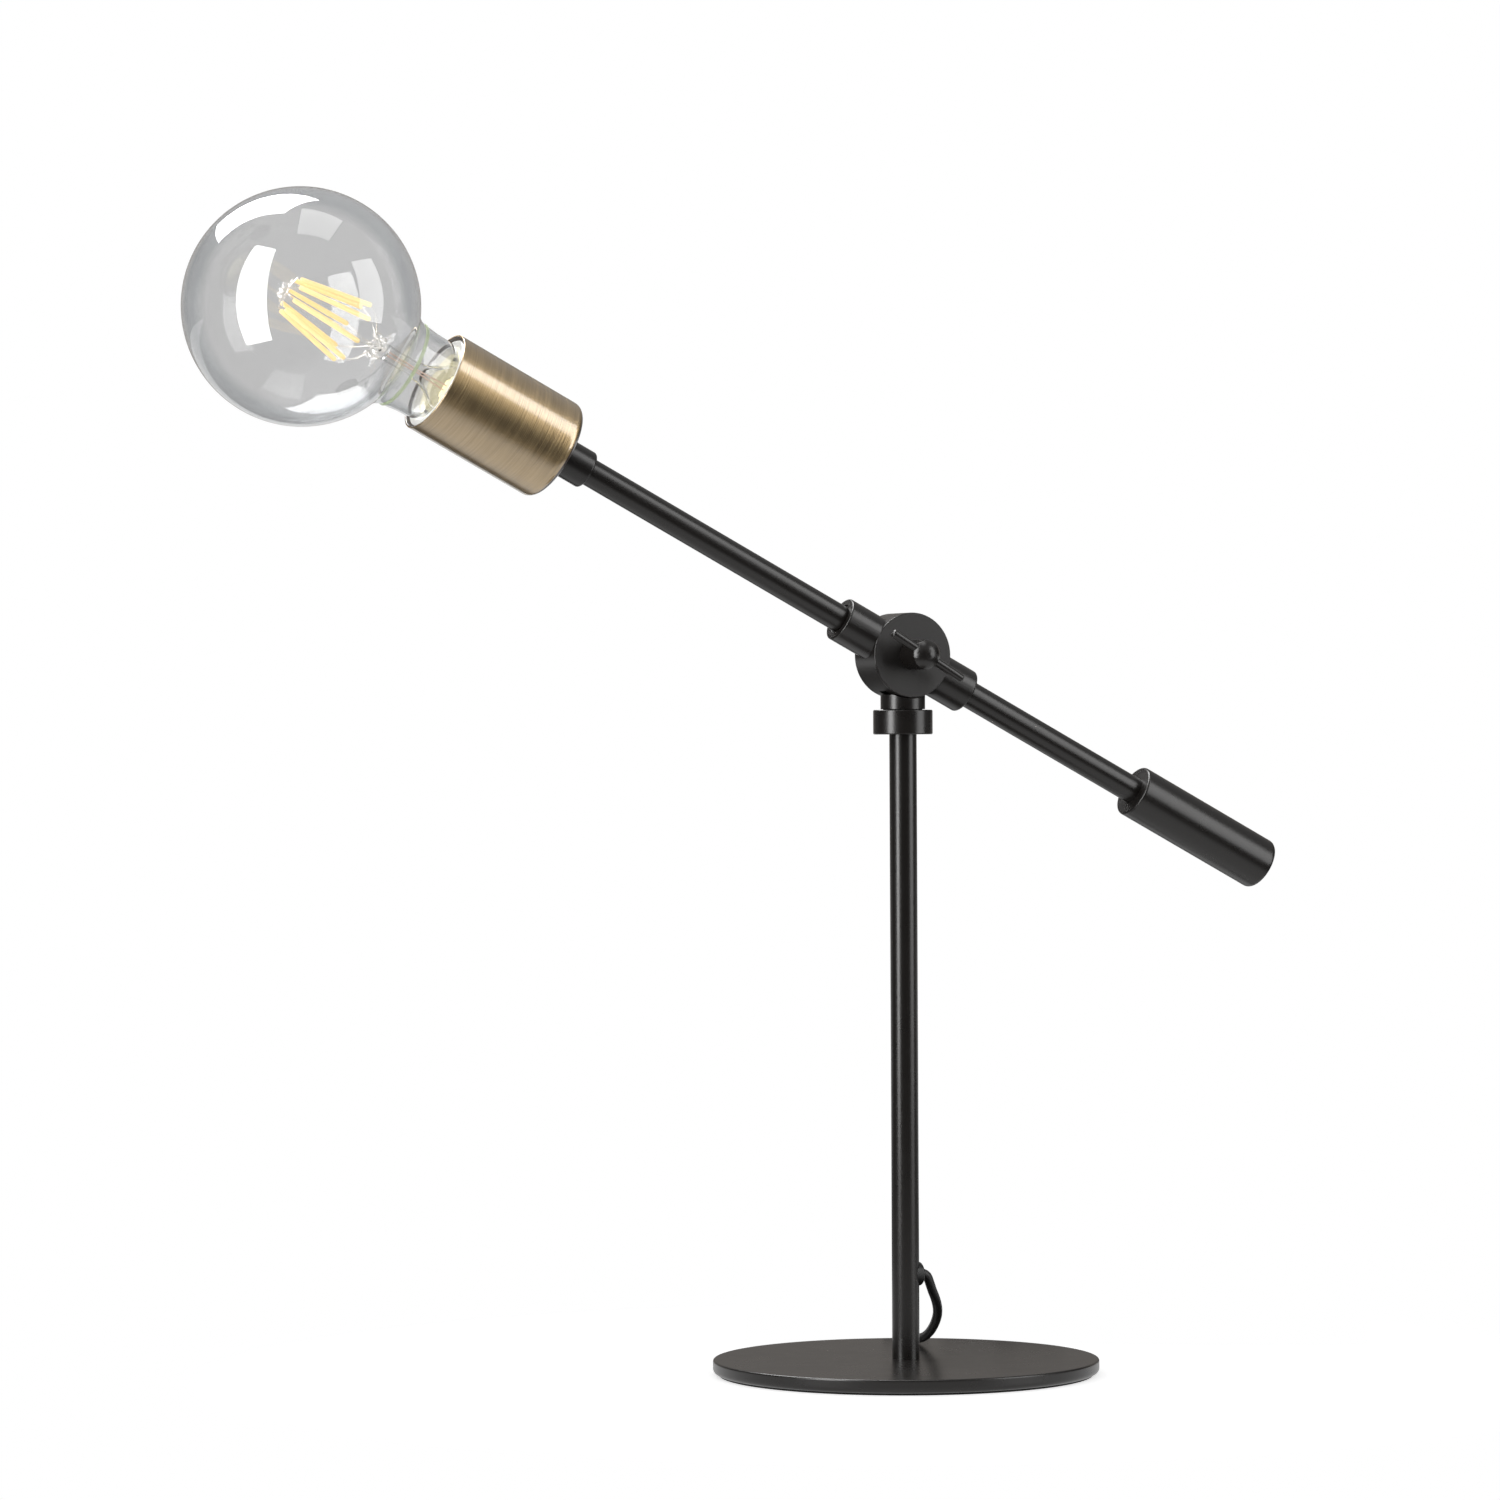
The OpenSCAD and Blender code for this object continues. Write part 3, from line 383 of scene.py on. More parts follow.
def powder_coat(name, colour, roughness, face=None):
    """Fine matt black stoved paint: a close grain of tiny mounds, and a slow change of gloss. Beyond face,
    a distance along an axis, the flat of a casting is rougher."""
    grain, patches, mound, edge = 2600.0, 90.0, 0.06 * MM, 0.1 * MM
    f = Finish(name)
    p = f.place()
    gloss = roughness
    if face:
        axis, reach, rougher = face
        gloss = f.span(f.along(p, axis), reach - edge, reach, roughness, rougher)
    mounds = f.noise(p, grain, 2.0, 0.6)
    cloud = f.noise(p, patches, 3.0, 0.55)
    shade = f.span(mounds * 0.6 + cloud * 0.4, 0.35, 0.65, 0.0, 1.0)
    return f.surface(
        Base_Color=f.blend(shade, toned(colour, 0.92), toned(colour, 1.1)),
        Roughness=f.span(cloud, 0.3, 0.7, -0.012, 0.016) + gloss,
        Normal=f.bump(mounds, 0.02, mound),
        IOR=1.5,
    )


def brushed(name, light, dark, roughness, axis, origin, inside, within):
    """Metal brushed round an axis: lines that are thin along the axis and long round it, in tone, gloss
    and height, under a slow change of tone. Nearer the axis than inside it's dark and not metallic."""
    scratch, edge = 0.4 * MM, 0.1 * MM
    f = Finish(name)
    p = f.place()

    def drawn(across, along, detail, rough):
        """Noise of so many waves a metre across the axis and along it."""
        x, y, z = turned(axis).T
        flat = f.add("ShaderNodeCombineXYZ", None, f.along(p, x, across), f.along(p, y, across),
                     f.along(p, z, along))
        return f.noise(flat.outputs[0], 1.0, detail, rough)

    lines = drawn(45.0, 1500.0, 3.0, 0.62)
    bands = drawn(18.0, 420.0, 2.0, 0.5)
    streak = lines * 0.65 + bands * 0.35
    tone = f.blend(f.span(streak, 0.34, 0.66, 0.0, 1.0), dark, light)
    off = f.vector("SUBTRACT", p, tuple(origin))[0]
    reach = Term(f, f.vector("LENGTH", f.vector("CROSS_PRODUCT", off, tuple(axis))[0])["Value"])
    outside = f.span(reach, inside, inside + edge, 0.0, 1.0)
    return f.surface(
        Base_Color=f.blend(outside, within, tone),
        Metallic=outside,
        Roughness=f.span(streak, 0.3, 0.7, roughness - 0.05, roughness + 0.07),
        Normal=f.bump(lines, 0.5, scratch),
        Coat_Weight=1.0,
        Coat_Roughness=0.15,
        Coat_IOR=2.0,
    )


def plain(name, colour, roughness, metallic=0.0, grain=1200.0, depth=0.05, coat=0.0, alpha=1.0, lit=0.0):
    """A moulded, drawn or plated surface with a faint unevenness. lit stands for light that the globe
    gathers on it."""
    patches, height = 60.0, 0.04 * MM
    f = Finish(name)
    p = f.place()
    fine = f.noise(p, grain, 2.0, 0.5)
    cloud = f.noise(p, patches, 2.0, 0.5)
    tone = f.blend(f.span(cloud, 0.3, 0.7, 0.0, 1.0), toned(colour, 0.92), toned(colour))
    return f.surface(
        Base_Color=tone,
        Emission_Color=tone,
        Emission_Strength=lit,
        Metallic=metallic,
        Roughness=f.span(fine, 0.3, 0.7, roughness - 0.03, roughness + 0.03),
        Normal=f.bump(fine, depth, height),
        Coat_Weight=coat,
        Alpha=alpha,
    )


def clear_glass(name, tint, rim, roughness=0.0, bend=1.5):
    """Clear blown glass, as a true wall with an inner and an outer face, which deepens towards its rim."""
    swells, height = 34.0, 0.6 * MM
    f = Finish(name)
    wave = f.noise(f.place(), swells, 1.0, 0.4)
    facing = Term(f, f.add("ShaderNodeLayerWeight", None, 0.5).outputs["Facing"])
    return f.surface(
        Base_Color=f.blend(f.span(facing, 0.4, 0.56, 0.0, 1.0), tint, rim),
        Roughness=roughness,
        IOR=bend,
        Transmission_Weight=1.0,
        Normal=f.bump(wave, 0.015, height),
    )


def painted_glow_crust(name, colour, strength):
    """A crust with painted light: a faint glow of its own stands for the light that reaches it through the
    glass.
    """
    grain, height = 1500.0, 0.05 * MM
    f = Finish(name)
    crust = f.noise(f.place(), grain, 2.0, 0.5)
    tint = f.blend(f.span(crust, 0.3, 0.7, 0.0, 1.0), toned(colour, 0.9), toned(colour))
    return f.surface(
        Base_Color=tint,
        Roughness=0.55,
        Emission_Color=tint,
        Emission_Strength=strength,
        Normal=f.bump(crust, 0.2, height),
    )


# What a user would change


class LampSizes(bpy.types.PropertyGroup):
    """Sizes of the lamp's surfaces"""

    foot_radius: FloatProperty(name="Foot radius", description="Radius of the round foot",
                               default=80.5 * MM, min=0.06, max=0.12, unit="LENGTH")
    foot_edge: FloatProperty(name="Foot edge", description="Rounding of the foot's upper rim",
                             default=0.8 * MM, min=0.0002, max=0.002, unit="LENGTH")
    foot_under: FloatProperty(name="Foot underside", description="Rounding of the foot's lower rim",
                              default=2 * MM, min=0.0005, max=0.003, unit="LENGTH")
    cup_wall: FloatProperty(name="Cup wall", description="Wall of the lampholder cup",
                            default=0.9 * MM, min=0.0006, max=0.0011, unit="LENGTH")
    glass_wall: FloatProperty(name="Glass wall", description="Wall of the globe", default=0.8 * MM,
                              min=0.0005, max=0.0012, unit="LENGTH")
    cord_width: FloatProperty(name="Flex", description="Diameter of the flex", default=4 * MM,
                              min=0.003, max=0.005, unit="LENGTH")
    turns: IntProperty(name="Segments", description="Segments round a turned piece",
                       default=160, min=48, max=256)


class LampColours(bpy.types.PropertyGroup):
    """Colours and gloss of the lamp's finishes"""

    paint: FloatVectorProperty(name="Paint", description="Stoved paint", subtype="COLOR", size=3,
                               default=(0.0135, 0.0112, 0.0098), min=0, max=1)
    paint_gloss: FloatProperty(name="Paint roughness", description="Roughness of the paint",
                               default=0.28, min=0, max=1)
    brass: FloatVectorProperty(name="Brass", description="Lit tone of the brushed cup", subtype="COLOR",
                               size=3, default=(0.50, 0.36, 0.185), min=0, max=1)
    brass_dark: FloatVectorProperty(name="Brass, dark", description="Dark tone between the brush lines",
                                    subtype="COLOR", size=3, default=(0.38, 0.268, 0.13), min=0, max=1)
    glass: FloatVectorProperty(name="Glass", description="Tint of the globe", subtype="COLOR", size=3,
                               default=(0.73, 0.73, 0.73), min=0, max=1)
    glass_rim: FloatVectorProperty(name="Glass rim", description="Tint of the globe where it's seen edge on",
                                   subtype="COLOR", size=3, default=(0.54, 0.555, 0.565), min=0, max=1)
    porcelain: FloatVectorProperty(name="Holder", description="Glazed holder ring", subtype="COLOR", size=3,
                                   default=(0.93, 0.92, 0.88), min=0, max=1)
    filament: FloatVectorProperty(name="Filament", description="Coating of the filament rods",
                                  subtype="COLOR", size=3, default=(1.0, 0.76, 0.36), min=0, max=1)
    rubber: FloatVectorProperty(name="Flex", description="Flex, plug and switch", subtype="COLOR", size=3,
                                default=(0.012, 0.012, 0.012), min=0, max=1)


def sizes():
    """The sizes as they're set in the scene."""
    return bpy.context.scene.lamp_sizes


def colours():
    """The colours as they're set in the scene."""
    return bpy.context.scene.lamp_colours


FINISHES = {}


def finish(kind):
    """The lamp's finishes by name, each made once."""
    c = colours()
    makers = {
        "paint": lambda: powder_coat("stoved_paint", c.paint, c.paint_gloss),
        "cast_paint": lambda: powder_coat("stoved_casting", c.paint, c.paint_gloss, (FRONT, DRUM_FACE, 0.42)),
        "brass": lambda: brushed("brushed_brass", toned(c.brass), toned(c.brass_dark), 0.37, TO_ARM_END,
                                 on_arm(CUP_S), CUP_BARE * MM, toned((0.05, 0.027, 0.017))),
        "steel": lambda: plain("plated_steel", (0.55, 0.55, 0.56), 0.3, metallic=1.0),
        "nylon": lambda: plain("nylon", (0.8, 0.79, 0.74), 0.45),
        "rubber": lambda: plain("flex_sheath", c.rubber, 0.42, grain=900.0, depth=0.08),
        "plastic": lambda: plain("moulded_black", (0.014, 0.014, 0.014), 0.38, grain=1500.0, depth=0.12),
        "pad": lambda: plain("foot_pad", (0.02, 0.02, 0.02), 0.9, grain=700.0, depth=0.4),
        "pins": lambda: plain("plug_pins", (0.62, 0.61, 0.58), 0.22, metallic=1.0),
        "contact": lambda: plain("contact_brass", (0.72, 0.55, 0.26), 0.3, metallic=1.0),
        "porcelain": lambda: plain("glazed_holder", c.porcelain, 0.25, grain=400.0, depth=0.03, coat=0.4,
                                   lit=0.3),
        # painted light: the cement and driver glow a little, for the light that reaches them through the
        # glass
        "cream": lambda: painted_glow_crust("cream_lining", (1.0, 0.93, 0.66), 0.8),
        "glass": lambda: clear_glass("globe_glass", toned(c.glass), toned(c.glass_rim)),
        "foot_glass": lambda: clear_glass("glass_foot", toned((0.99, 0.99, 0.98)), toned((0.93, 0.93, 0.91)),
                                          roughness=0.02, bend=1.14),
        "cap_insulator": lambda: plain("black_glass", (0.01, 0.01, 0.012), 0.08),
        "wire": lambda: plain("lead_wire", (0.93, 0.92, 0.9), 0.25, metallic=0.8),
        # painted light: the filament rods glow a little, for the light that reaches them through the glass
        "filament": lambda: painted_glow_crust("filament_coat", c.filament, 0.5),
        "lead": lambda: plain("copper_lead", (0.9, 0.66, 0.56), 0.4, metallic=0.6),
        "seam": lambda: plain("glass_seam", (0.66, 0.78, 0.46), 0.3, grain=900.0, alpha=0.45),
    }
    if kind not in FINISHES:
        FINISHES[kind] = makers[kind]()
    return FINISHES[kind]


class Step:
    """What the operators share: they finish, or raise."""

    bl_options = {"REGISTER", "UNDO"}

    def execute(self, context):
        self.build()
        return {"FINISHED"}


# Camera and studio


class LAMP_OT_camera(Step, bpy.types.Operator):
    """Puts the camera level, a little above the foot, where the photograph was taken from"""

    bl_idname = "lamp.camera"
    bl_label = "Camera"

    def build(self):
        distance, height = 2.3138, 0.2604
        yaw, roll = math.radians(-1.58), math.radians(-0.276)
        sensor, focal_pixels, frame_pixels = 36.0, 5547, 1500
        data = bpy.data.cameras.new("view")
        data.sensor_width, data.lens = sensor, sensor * focal_pixels / frame_pixels
        data.clip_start, data.clip_end = 0.1, 60
        camera = bpy.data.objects.new("view", data)
        look = math.cos(yaw) * AWAY + math.sin(yaw) * SIDE
        right = np.cross(look, UP)
        across = math.cos(roll) * right + math.sin(roll) * UP
        upward = math.cos(roll) * UP - math.sin(roll) * right
        turn = Matrix([[across[i], upward[i], -look[i]] for i in range(3)])
        camera.matrix_world = Matrix.Translation(Vector(-distance * AWAY + height * UP)) @ turn.to_4x4()
        bpy.context.scene.collection.objects.link(camera)
        bpy.context.scene.camera = camera


def staged(name, points, faces, material):
    """A thing of the studio and not of the lamp, from its points and faces."""
    mesh = bpy.data.meshes.new(name)
    mesh.from_pydata([tuple(p) for p in points], [], faces)
    mesh.materials.append(material)
    thing = bpy.data.objects.new(name, mesh)
    bpy.context.scene.collection.objects.link(thing)
    return thing


class LAMP_OT_stage(Step, bpy.types.Operator):
    """Lays the pale floor, the low screen behind the lamp, the soft lamps and the white surround"""

    bl_idname = "lamp.stage"
    bl_label = "Studio"

    def build(self):
        self.floor()
        self.screen()
        self.room()
        self.surround()
        bulb, foot = on_arm(GLOBE_S), np.zeros(3)
        # u, v and z of each lamp from its target, the way its width runs, its size and its radiance
        self.softbox("left_light", bulb, (-0.345, -0.40, 0.133), (0.757, -0.653, 0), (0.29, 1.0), 10.5, True)
        self.softbox("right_light", foot, (1.617, -0.525, 0.9), (0.309, 0.951, 0), (0.94, 1.8), 3.6, True)
        self.softbox("top_light", bulb, (-0.461, 0.604, 0.998), (0.771, -0.322, 0.551), (1.02, 0.72), 12.0)
        self.softbox("overhead_light", bulb, (0.28, -0.10, 1.2), (1.0, 0.0, 0.0), (0.58, 0.74), 2.0)
        bpy.context.scene.view_settings.view_transform = "Standard"

    def floor(self):
        """White to the eye and through glass, with real shade that fades out round the lamp. In reflections
        it's pale near the lamp and far behind it, and dim between and at the sides."""
        half = 8.0
        fade_from, fade_to = 0.11, 0.3
        dim_from, dim_to = 0.34, 0.5
        pale_from, pale_to = 0.75, 0.95
        lift, pale, dull = 0.66, 0.85, 0.07
        f = Finish("studio_floor")
        p = f.place()
        path = f.add("ShaderNodeLightPath").outputs
        seen = Term(f, path["Is Camera Ray"]).math("MAXIMUM", path["Is Transmission Ray"])
        far = Term(f, f.vector("LENGTH", p)["Value"])
        matt = f.add("ShaderNodeBsdfDiffuse", None, (0.9, 0.9, 0.9, 1)).outputs[0]
        near = f.add("ShaderNodeAddShader", None, matt, f.glow(lift)).outputs[0]
        eye = f.mix(f.span(far, fade_from, fade_to, 0.0, 1.0), near, f.glow(1.0))
        between = f.span(far, dim_from, dim_to, 0.0, 1.0)
        before = f.span(f.along(p, AWAY), pale_from, pale_to, 1.0, 0.0)
        gleam = f.mix(between * before, f.glow(pale), f.glow(dull))
        # a ray through smooth glass counts as glossy too, so only the others are taken for mirrored ones
        mirrored = Term(f, path["Is Glossy Ray"]) - path["Is Transmission Ray"]
        both = f.mix(mirrored, f.mix(seen, matt, eye), gleam)
        corners = [(-half, -half, 0), (half, -half, 0), (half, half, 0), (-half, half, 0)]
        staged("floor", corners, [(0, 1, 2, 3)], f.shown(both))

    def screen(self):
        """A low white screen close behind the lamp, of slats that slope and show from below alone: they
        close up to an eye almost level with the table, and are clear from any higher view."""
        left, right, near, far = -0.07, 0.2, 0.083, 0.115
        slats, slope, step, first = 7, 0.25, 0.0042, -0.0018
        f = Finish("studio_screen")
        back = f.add("ShaderNodeNewGeometry").outputs["Backfacing"]
        clear = f.add("ShaderNodeBsdfTransparent").outputs[0]
        low = (first + step * np.arange(slats))[:, None]
        u = np.array([left, right, right, left]) + 0 * low
        v = np.array([far, far, near, near]) + 0 * low
        z = low + slope * (far - v)
        quads = np.arange(4 * slats).reshape(-1, 4).tolist()
        screen = staged("screen", seen_at(u, v, z).reshape(-1, 3), quads,
                        f.shown(f.mix(back, f.glow(1.0), clear)))
        screen.visible_diffuse = screen.visible_glossy = False
        screen.visible_transmission = screen.visible_shadow = False

    def room(self):
        """The room round the studio, for reflections alone: a dome that is dark behind the camera and at the
        sides, and pale overhead and behind the lamp."""
        radius = 5.0
        turn = np.radians(np.linspace(0, 360, 72, endpoint=False))
        rise = np.radians(np.linspace(0, 90, 19))[:, None]
        dome = radius * seen_at(np.cos(rise) * np.sin(turn), np.cos(rise) * np.cos(turn), np.sin(rise))
        f = Finish("studio_room")
        p = f.place()
        back = f.span(f.along(p, AWAY), 0.7 * radius, 0.8 * radius, 0.0, 1.0)
        high = f.span(f.along(p, UP), 0.4 * radius, 0.62 * radius, 0.0, 1.0)
        low = f.mix(back, f.glow(0.04), f.glow(0.28, (1.0, 0.93, 0.87)))
        thing = staged("room", dome.reshape(-1, 3), skin(*dome.shape[:2], False, True).tolist(),
                       f.shown(f.mix(high, low, f.glow(0.4))))
        thing.visible_camera = thing.visible_diffuse = False
        thing.visible_transmission = thing.visible_shadow = False

    def surround(self):
        """White to the eye, in gloss and through glass, and a plain fill of light for the rest."""
        fill = 0.45
        f = Finish("surround", world=True)
        path = f.add("ShaderNodeLightPath").outputs
        seen = Term(f, path["Is Camera Ray"])
        for kind in ("Is Glossy Ray", "Is Transmission Ray"):
            seen = seen.math("MAXIMUM", path[kind])
        level = f.span(seen, 0.0, 1.0, fill, 1.0)
        bpy.context.scene.world = f.shown(f.add("ShaderNodeBackground", None, (1, 1, 1, 1), level).outputs[0])

    def softbox(self, name, target, away, wide, size, radiance, upright=False):
        """A soft lamp away from its target, to the side, behind and above, turned to it about its width or
        upright. Its bright face shows in what shines, and a weaker twin lights what is matt, at a plain
        level."""
        plain_share = 0.25
        place = target + seen_at(*away)
        across = seen_at(*wide)
        across /= np.linalg.norm(across)
        back = place - target
        back -= across * (across @ back)
        if upright:
            back[2] = 0.0
        back /= np.linalg.norm(back)
        upward = np.cross(back, across)
        turn = Matrix([[across[i], upward[i], back[i]] for i in range(3)]).to_4x4()
        for part, share in (("gleam", 1.0), ("fill", plain_share)):
            light = bpy.data.lights.new(f"{name}_{part}", "AREA")
            light.shape, light.size, light.size_y = "RECTANGLE", *size
            light.energy = radiance * math.pi * size[0] * size[1] * share
            lamp = bpy.data.objects.new(f"{name}_{part}", light)
            lamp.matrix_world = Matrix.Translation(Vector(place)) @ turn
            lamp.visible_camera = False
            lamp.visible_diffuse = part == "fill"
            lamp.visible_glossy = lamp.visible_transmission = part == "gleam"
            bpy.context.scene.collection.objects.link(lamp)


# The flex, its switch and its plug

# where the flex leaves the grommet, and where the switch starts, how long it is and how high its ends are
EXIT_X, EXIT_Z = 6.9, 41.5
SWITCH_V, SWITCH_L, SWITCH_Z = 116.0, 60.0, 6.5
PLUG_Z = 6.85
# its route, as millimetres to the side, behind and above the foot's centre
RUN = [(9, 4.7, 40.2), (10, 5.8, 37.6), (11.1, 7.6, 34.1), (12.4, 10.3, 30.5), (13.2, 14, 27),
       (13.4, 18.5, 23.8), (12.9, 24, 20.5), (11.8, 30.5, 17), (10.1, 38, 13.5), (7.7, 46, 10.6),
       (5, 54.5, 9), (2.4, 63.5, 8.5), (0.6, 72, 8.5), (0, 79, 8.4), (0, 86, 7.9), (0, 93, 7.3),
       (0, 100, 6.8), (0, 108, 6.5), (0, SWITCH_V, SWITCH_Z)]
LINK = [(0, SWITCH_V + SWITCH_L, SWITCH_Z), (0, 181, 6.3), (0.8, 188, 5), (3.2, 195, 3.7), (7, 201.6, 3.1),
        (12.4, 207.2, 3), (19, 211.2, 2.9), (26, 213.4, 2.9), (33, 214.1, 2.9)]
# the coil: its centre, its middle radius and lowest height, the degrees it turns in all, its layers, how
# far apart its turns lie beside each other and how far on each other
COIL = {"u": 44.0, "v": 184.9, "r": 24.0, "low": 2.9, "turn": 3285.0, "layers": 4, "pitch": 4.6,
        "layer": 4.46}


def coil_line(steps):
    """The wound coil's line: layers of a steady spiral, in and out again, clockwise from its far side, each
    climbing in the half turn about a reversal."""
    c = COIL
    t = np.linspace(0, c["turn"], steps)
    per = c["turn"] / c["layers"]
    k = np.minimum(np.floor(t / per), c["layers"] - 1)
    f = t / per - k
    across = np.where(k % 2 == 0, 1 - f, f)
    reach = c["pitch"] * c["turn"] / 360 / c["layers"]
    r = c["r"] + (across - 0.5) * reach
    climbed = sum(np.clip((t - j * per + 90) / 180, 0, 1) for j in range(1, c["layers"]))
    a = np.radians(90 - t)
    height = c["low"] + c["layer"] * climbed
    return np.stack([c["u"] + r * np.cos(a), c["v"] + r * np.sin(a), height], axis=-1)


def in_metres(points):
    """Route points in millimetres as points of the frame."""
    return seen_at(*(np.asarray(points, float) * MM).T)


class LAMP_OT_cord(Step, bpy.types.Operator):
    """Draws the flex: its drop behind the stem to the switch, and its stored coil from there to the plug"""

    bl_idname = "lamp.cord"
    bl_label = "Flex"

    def build(self):
        width = sizes().cord_width
        straight, lead, tail_side = 1.4, 4, 34
        fine, coarse, coil_steps = 1.2 * MM, 2.4 * MM, 620
        leaving = [(x * math.cos(VIEW_TURN), x * math.sin(VIEW_TURN), EXIT_Z)
                   for x in (EXIT_X, EXIT_X + straight)]
        run = smooth_line(in_metres([*leaving, *RUN]), fine)
        coil = coil_line(coil_steps)
        start = coil[0] - [lead, 0, 0]
        end = coil[-1] + lead * np.array([math.sqrt(0.5), -math.sqrt(0.5), 0])
        # the tail runs out straight from the coil and rises to the plug by a smooth step
        f = np.linspace(0, 1, 7)[:, None]
        ease = f * f * (3 - 2 * f)
        far = end + [tail_side, -tail_side, 0]
        tail = np.concatenate([end[:2] + (far[:2] - end[:2]) * f, end[2] + (PLUG_Z - end[2]) * ease], axis=1)
        stored = np.concatenate([smooth_line(in_metres([*LINK, start]), coarse), in_metres(coil),
                                 smooth_line(in_metres(tail), coarse)])
        self.declared("flex_run", run, width, ["cord_run"], "fitting",
                      ["switch_base", "switch_cover", "switch_rocker"])
        self.declared("flex_stored", stored, width, ["cord_link", "cord_coil", "cord_tail"], "plug",
                      ["plug_body", "plug_pin_left", "plug_pin_right", "coil_tie"], "coiled")

    def declared(self, name, line, width, nodes, far_end, pieces, lay="loose"):
        """A stretch of flex along the line. Its section is a circle with a shallow groove on each side: the
        radius dips by a share, as a bell curve of the angle's sine."""
        groove, groove_width = 0.035, 0.35
        made = carried(line, width / 2, 20, lambda a: 1 - groove * np.exp(-(np.sin(a) / groove_width) ** 2))
        flex = piece(name, [made], finish("rubber"), "base", nodes)


class LAMP_OT_fittings(Step, bpy.types.Operator):
    """Finishes the switch, the plug and the coil's strap"""

    bl_idname = "lamp.fittings"
    bl_label = "Switch and plug"

    def build(self):
        dress(finish("plastic"), "switch_base", "switch_cover", "switch_rocker", "plug_body", "coil_tie")
        dress(finish("pins"), "plug_pin_left", "plug_pin_right")
        dress(finish("rubber"), "cord_grommet", "stem_lead", "arm_lead")


# The lamp itself


class LAMP_OT_foot(Step, bpy.types.Operator):
    """Turns the round foot and finishes what holds the stem on it"""

    bl_idname = "lamp.foot"
    bl_label = "Foot"

    def build(self):
        s = sizes()
        low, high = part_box("base_plate")
        bore, sink, break_edge = 5.03 * MM, 13 * MM, 0.2 * MM
        roof = low[2] + 3.5 * MM
        profile = rounded([(bore, roof), (sink, roof), (sink, low[2], break_edge),
                           (s.foot_radius, low[2], s.foot_under), (s.foot_radius, high[2], s.foot_edge),
                           (bore, high[2])], 8, closed=True)
        piece("foot", [spun(profile, (0, 0, 0), UP, s.turns, closed=True)], finish("paint"), "base",
              ["base_plate"])
        dress(finish("pad"), "base_pad")
        dress(finish("steel"), "base_washer", "base_nut", "base_nipple", "collar_screw")


class LAMP_OT_stem(Step, bpy.types.Operator):
    """Finishes the stem, collar and swivelling neck"""

    bl_idname = "lamp.stem"
    bl_label = "Stem and swivel"

    def build(self):
        dress(finish("paint"), "stem_tube", "collar", "swivel_neck")
        dress(finish("pad"), "swivel_washer")


class LAMP_OT_knuckle(Step, bpy.types.Operator):
    """Finishes the drum, its cross sleeve and the pivot's hardware"""

    bl_idname = "lamp.knuckle"
    bl_label = "Knuckle"

    def build(self):
        dress(finish("cast_paint"), "knuckle")
        dress(finish("nylon"), "friction_washer_front", "friction_washer_rear")
        dress(finish("steel"), "pivot_nut")


class LAMP_OT_thumb_screw(Step, bpy.types.Operator):
    """Finishes the thumb screw's domed head and its cross bar"""

    bl_idname = "lamp.thumb_screw"
    bl_label = "Thumb screw"

    def build(self):
        dress(finish("paint"), "screw_head", "screw_bar")


class LAMP_OT_arm(Step, bpy.types.Operator):
    """Finishes the two rods and the counterweight"""

    bl_idname = "lamp.arm"
    bl_label = "Arm and counterweight"

    def build(self):
        dress(finish("paint"), "front_rod", "rear_rod", "counterweight", "ferrule")
        dress(finish("steel"), "weight_screw", "cup_nipple", "cup_nut")


class LAMP_OT_lampholder(Step, bpy.types.Operator):
    """Turns the brushed cup, the holder's ring and its lining"""

    bl_idname = "lamp.lampholder"
    bl_label = "Lampholder"

    def build(self):
        s = sizes()
        bore, bottom, inner = 4.98, 1.5, CUP_R - s.cup_wall / MM
        outer_bend, inner_bend, outer_lip, inner_lip = 3.8, 2.9, 0.25, 0.2
        corners = [(bore, 0), (CUP_R, 0, outer_bend), (CUP_R, CUP_L, outer_lip), (inner, CUP_L, inner_lip),
                   (inner, bottom, inner_bend), (bore, bottom)]
        cup = rounded([tuple(size * MM for size in corner) for corner in corners], 8, closed=True)
        piece("cup_shell", [spun(cup, on_arm(CUP_S), TO_ARM_END, s.turns, closed=True)], finish("brass"),
              "arm", ["cup"])
        dress(finish("porcelain"), "holder_ring", "holder_body")
        dress(finish("contact"), "holder_shell", "holder_contact")


# the filament rods: how many, their length, and how far off the axis their low and high ends stand
RODS, ROD_L, LOW_R, HIGH_R = 8, 31.5, 13.2, 7.3
# the button that carries the rods' low ends, and the head that carries their high ends
HUB_LOW, HUB_HIGH = 35.7, -9.5
FIL_LOW = HUB_LOW - 11.3
FIL_HIGH = FIL_LOW - math.sqrt(ROD_L**2 - (LOW_R - HIGH_R) ** 2)


def globe_profile(inset):
    """The glass from its far pole to the end of its neck, at that inset from its outer face: an arc, a
    hollow arc tangent to it, a near straight neck and the shoulder that goes into the cap."""
    ball, neck, hollow = 47.5 - inset, 18 - inset, 9 + inset
    height = math.sqrt((ball + hollow) ** 2 - (neck + hollow) ** 2)
    meet = math.atan2(height, neck + hollow)
    a = np.linspace(-math.pi / 2, meet, 72)
    arc = np.stack([ball * np.cos(a), ball * np.sin(a)], axis=-1)
    arc[0, 0] = 0
    b = math.pi + np.linspace(meet, 0, 18)[1:]
    bend = np.stack([neck + hollow + hollow * np.cos(b), height + hollow * np.sin(b)], axis=-1)
    waist = height + 0.5 * (SEAL_Z - 12 - height)
    shoulder = [(17.4, waist), (17, SEAL_Z - 9.7), (16.1, SEAL_Z - 7.6), (14.6, SEAL_Z - 5.7),
                (12.3, SEAL_Z - 4.2), (12, SEAL_Z)]
    down = smooth_line([(*bend[-1], 0), *((r - inset, z, 0) for r, z in shoulder)], 0.6)[1:, :2]
    return np.concatenate([arc, bend, down])


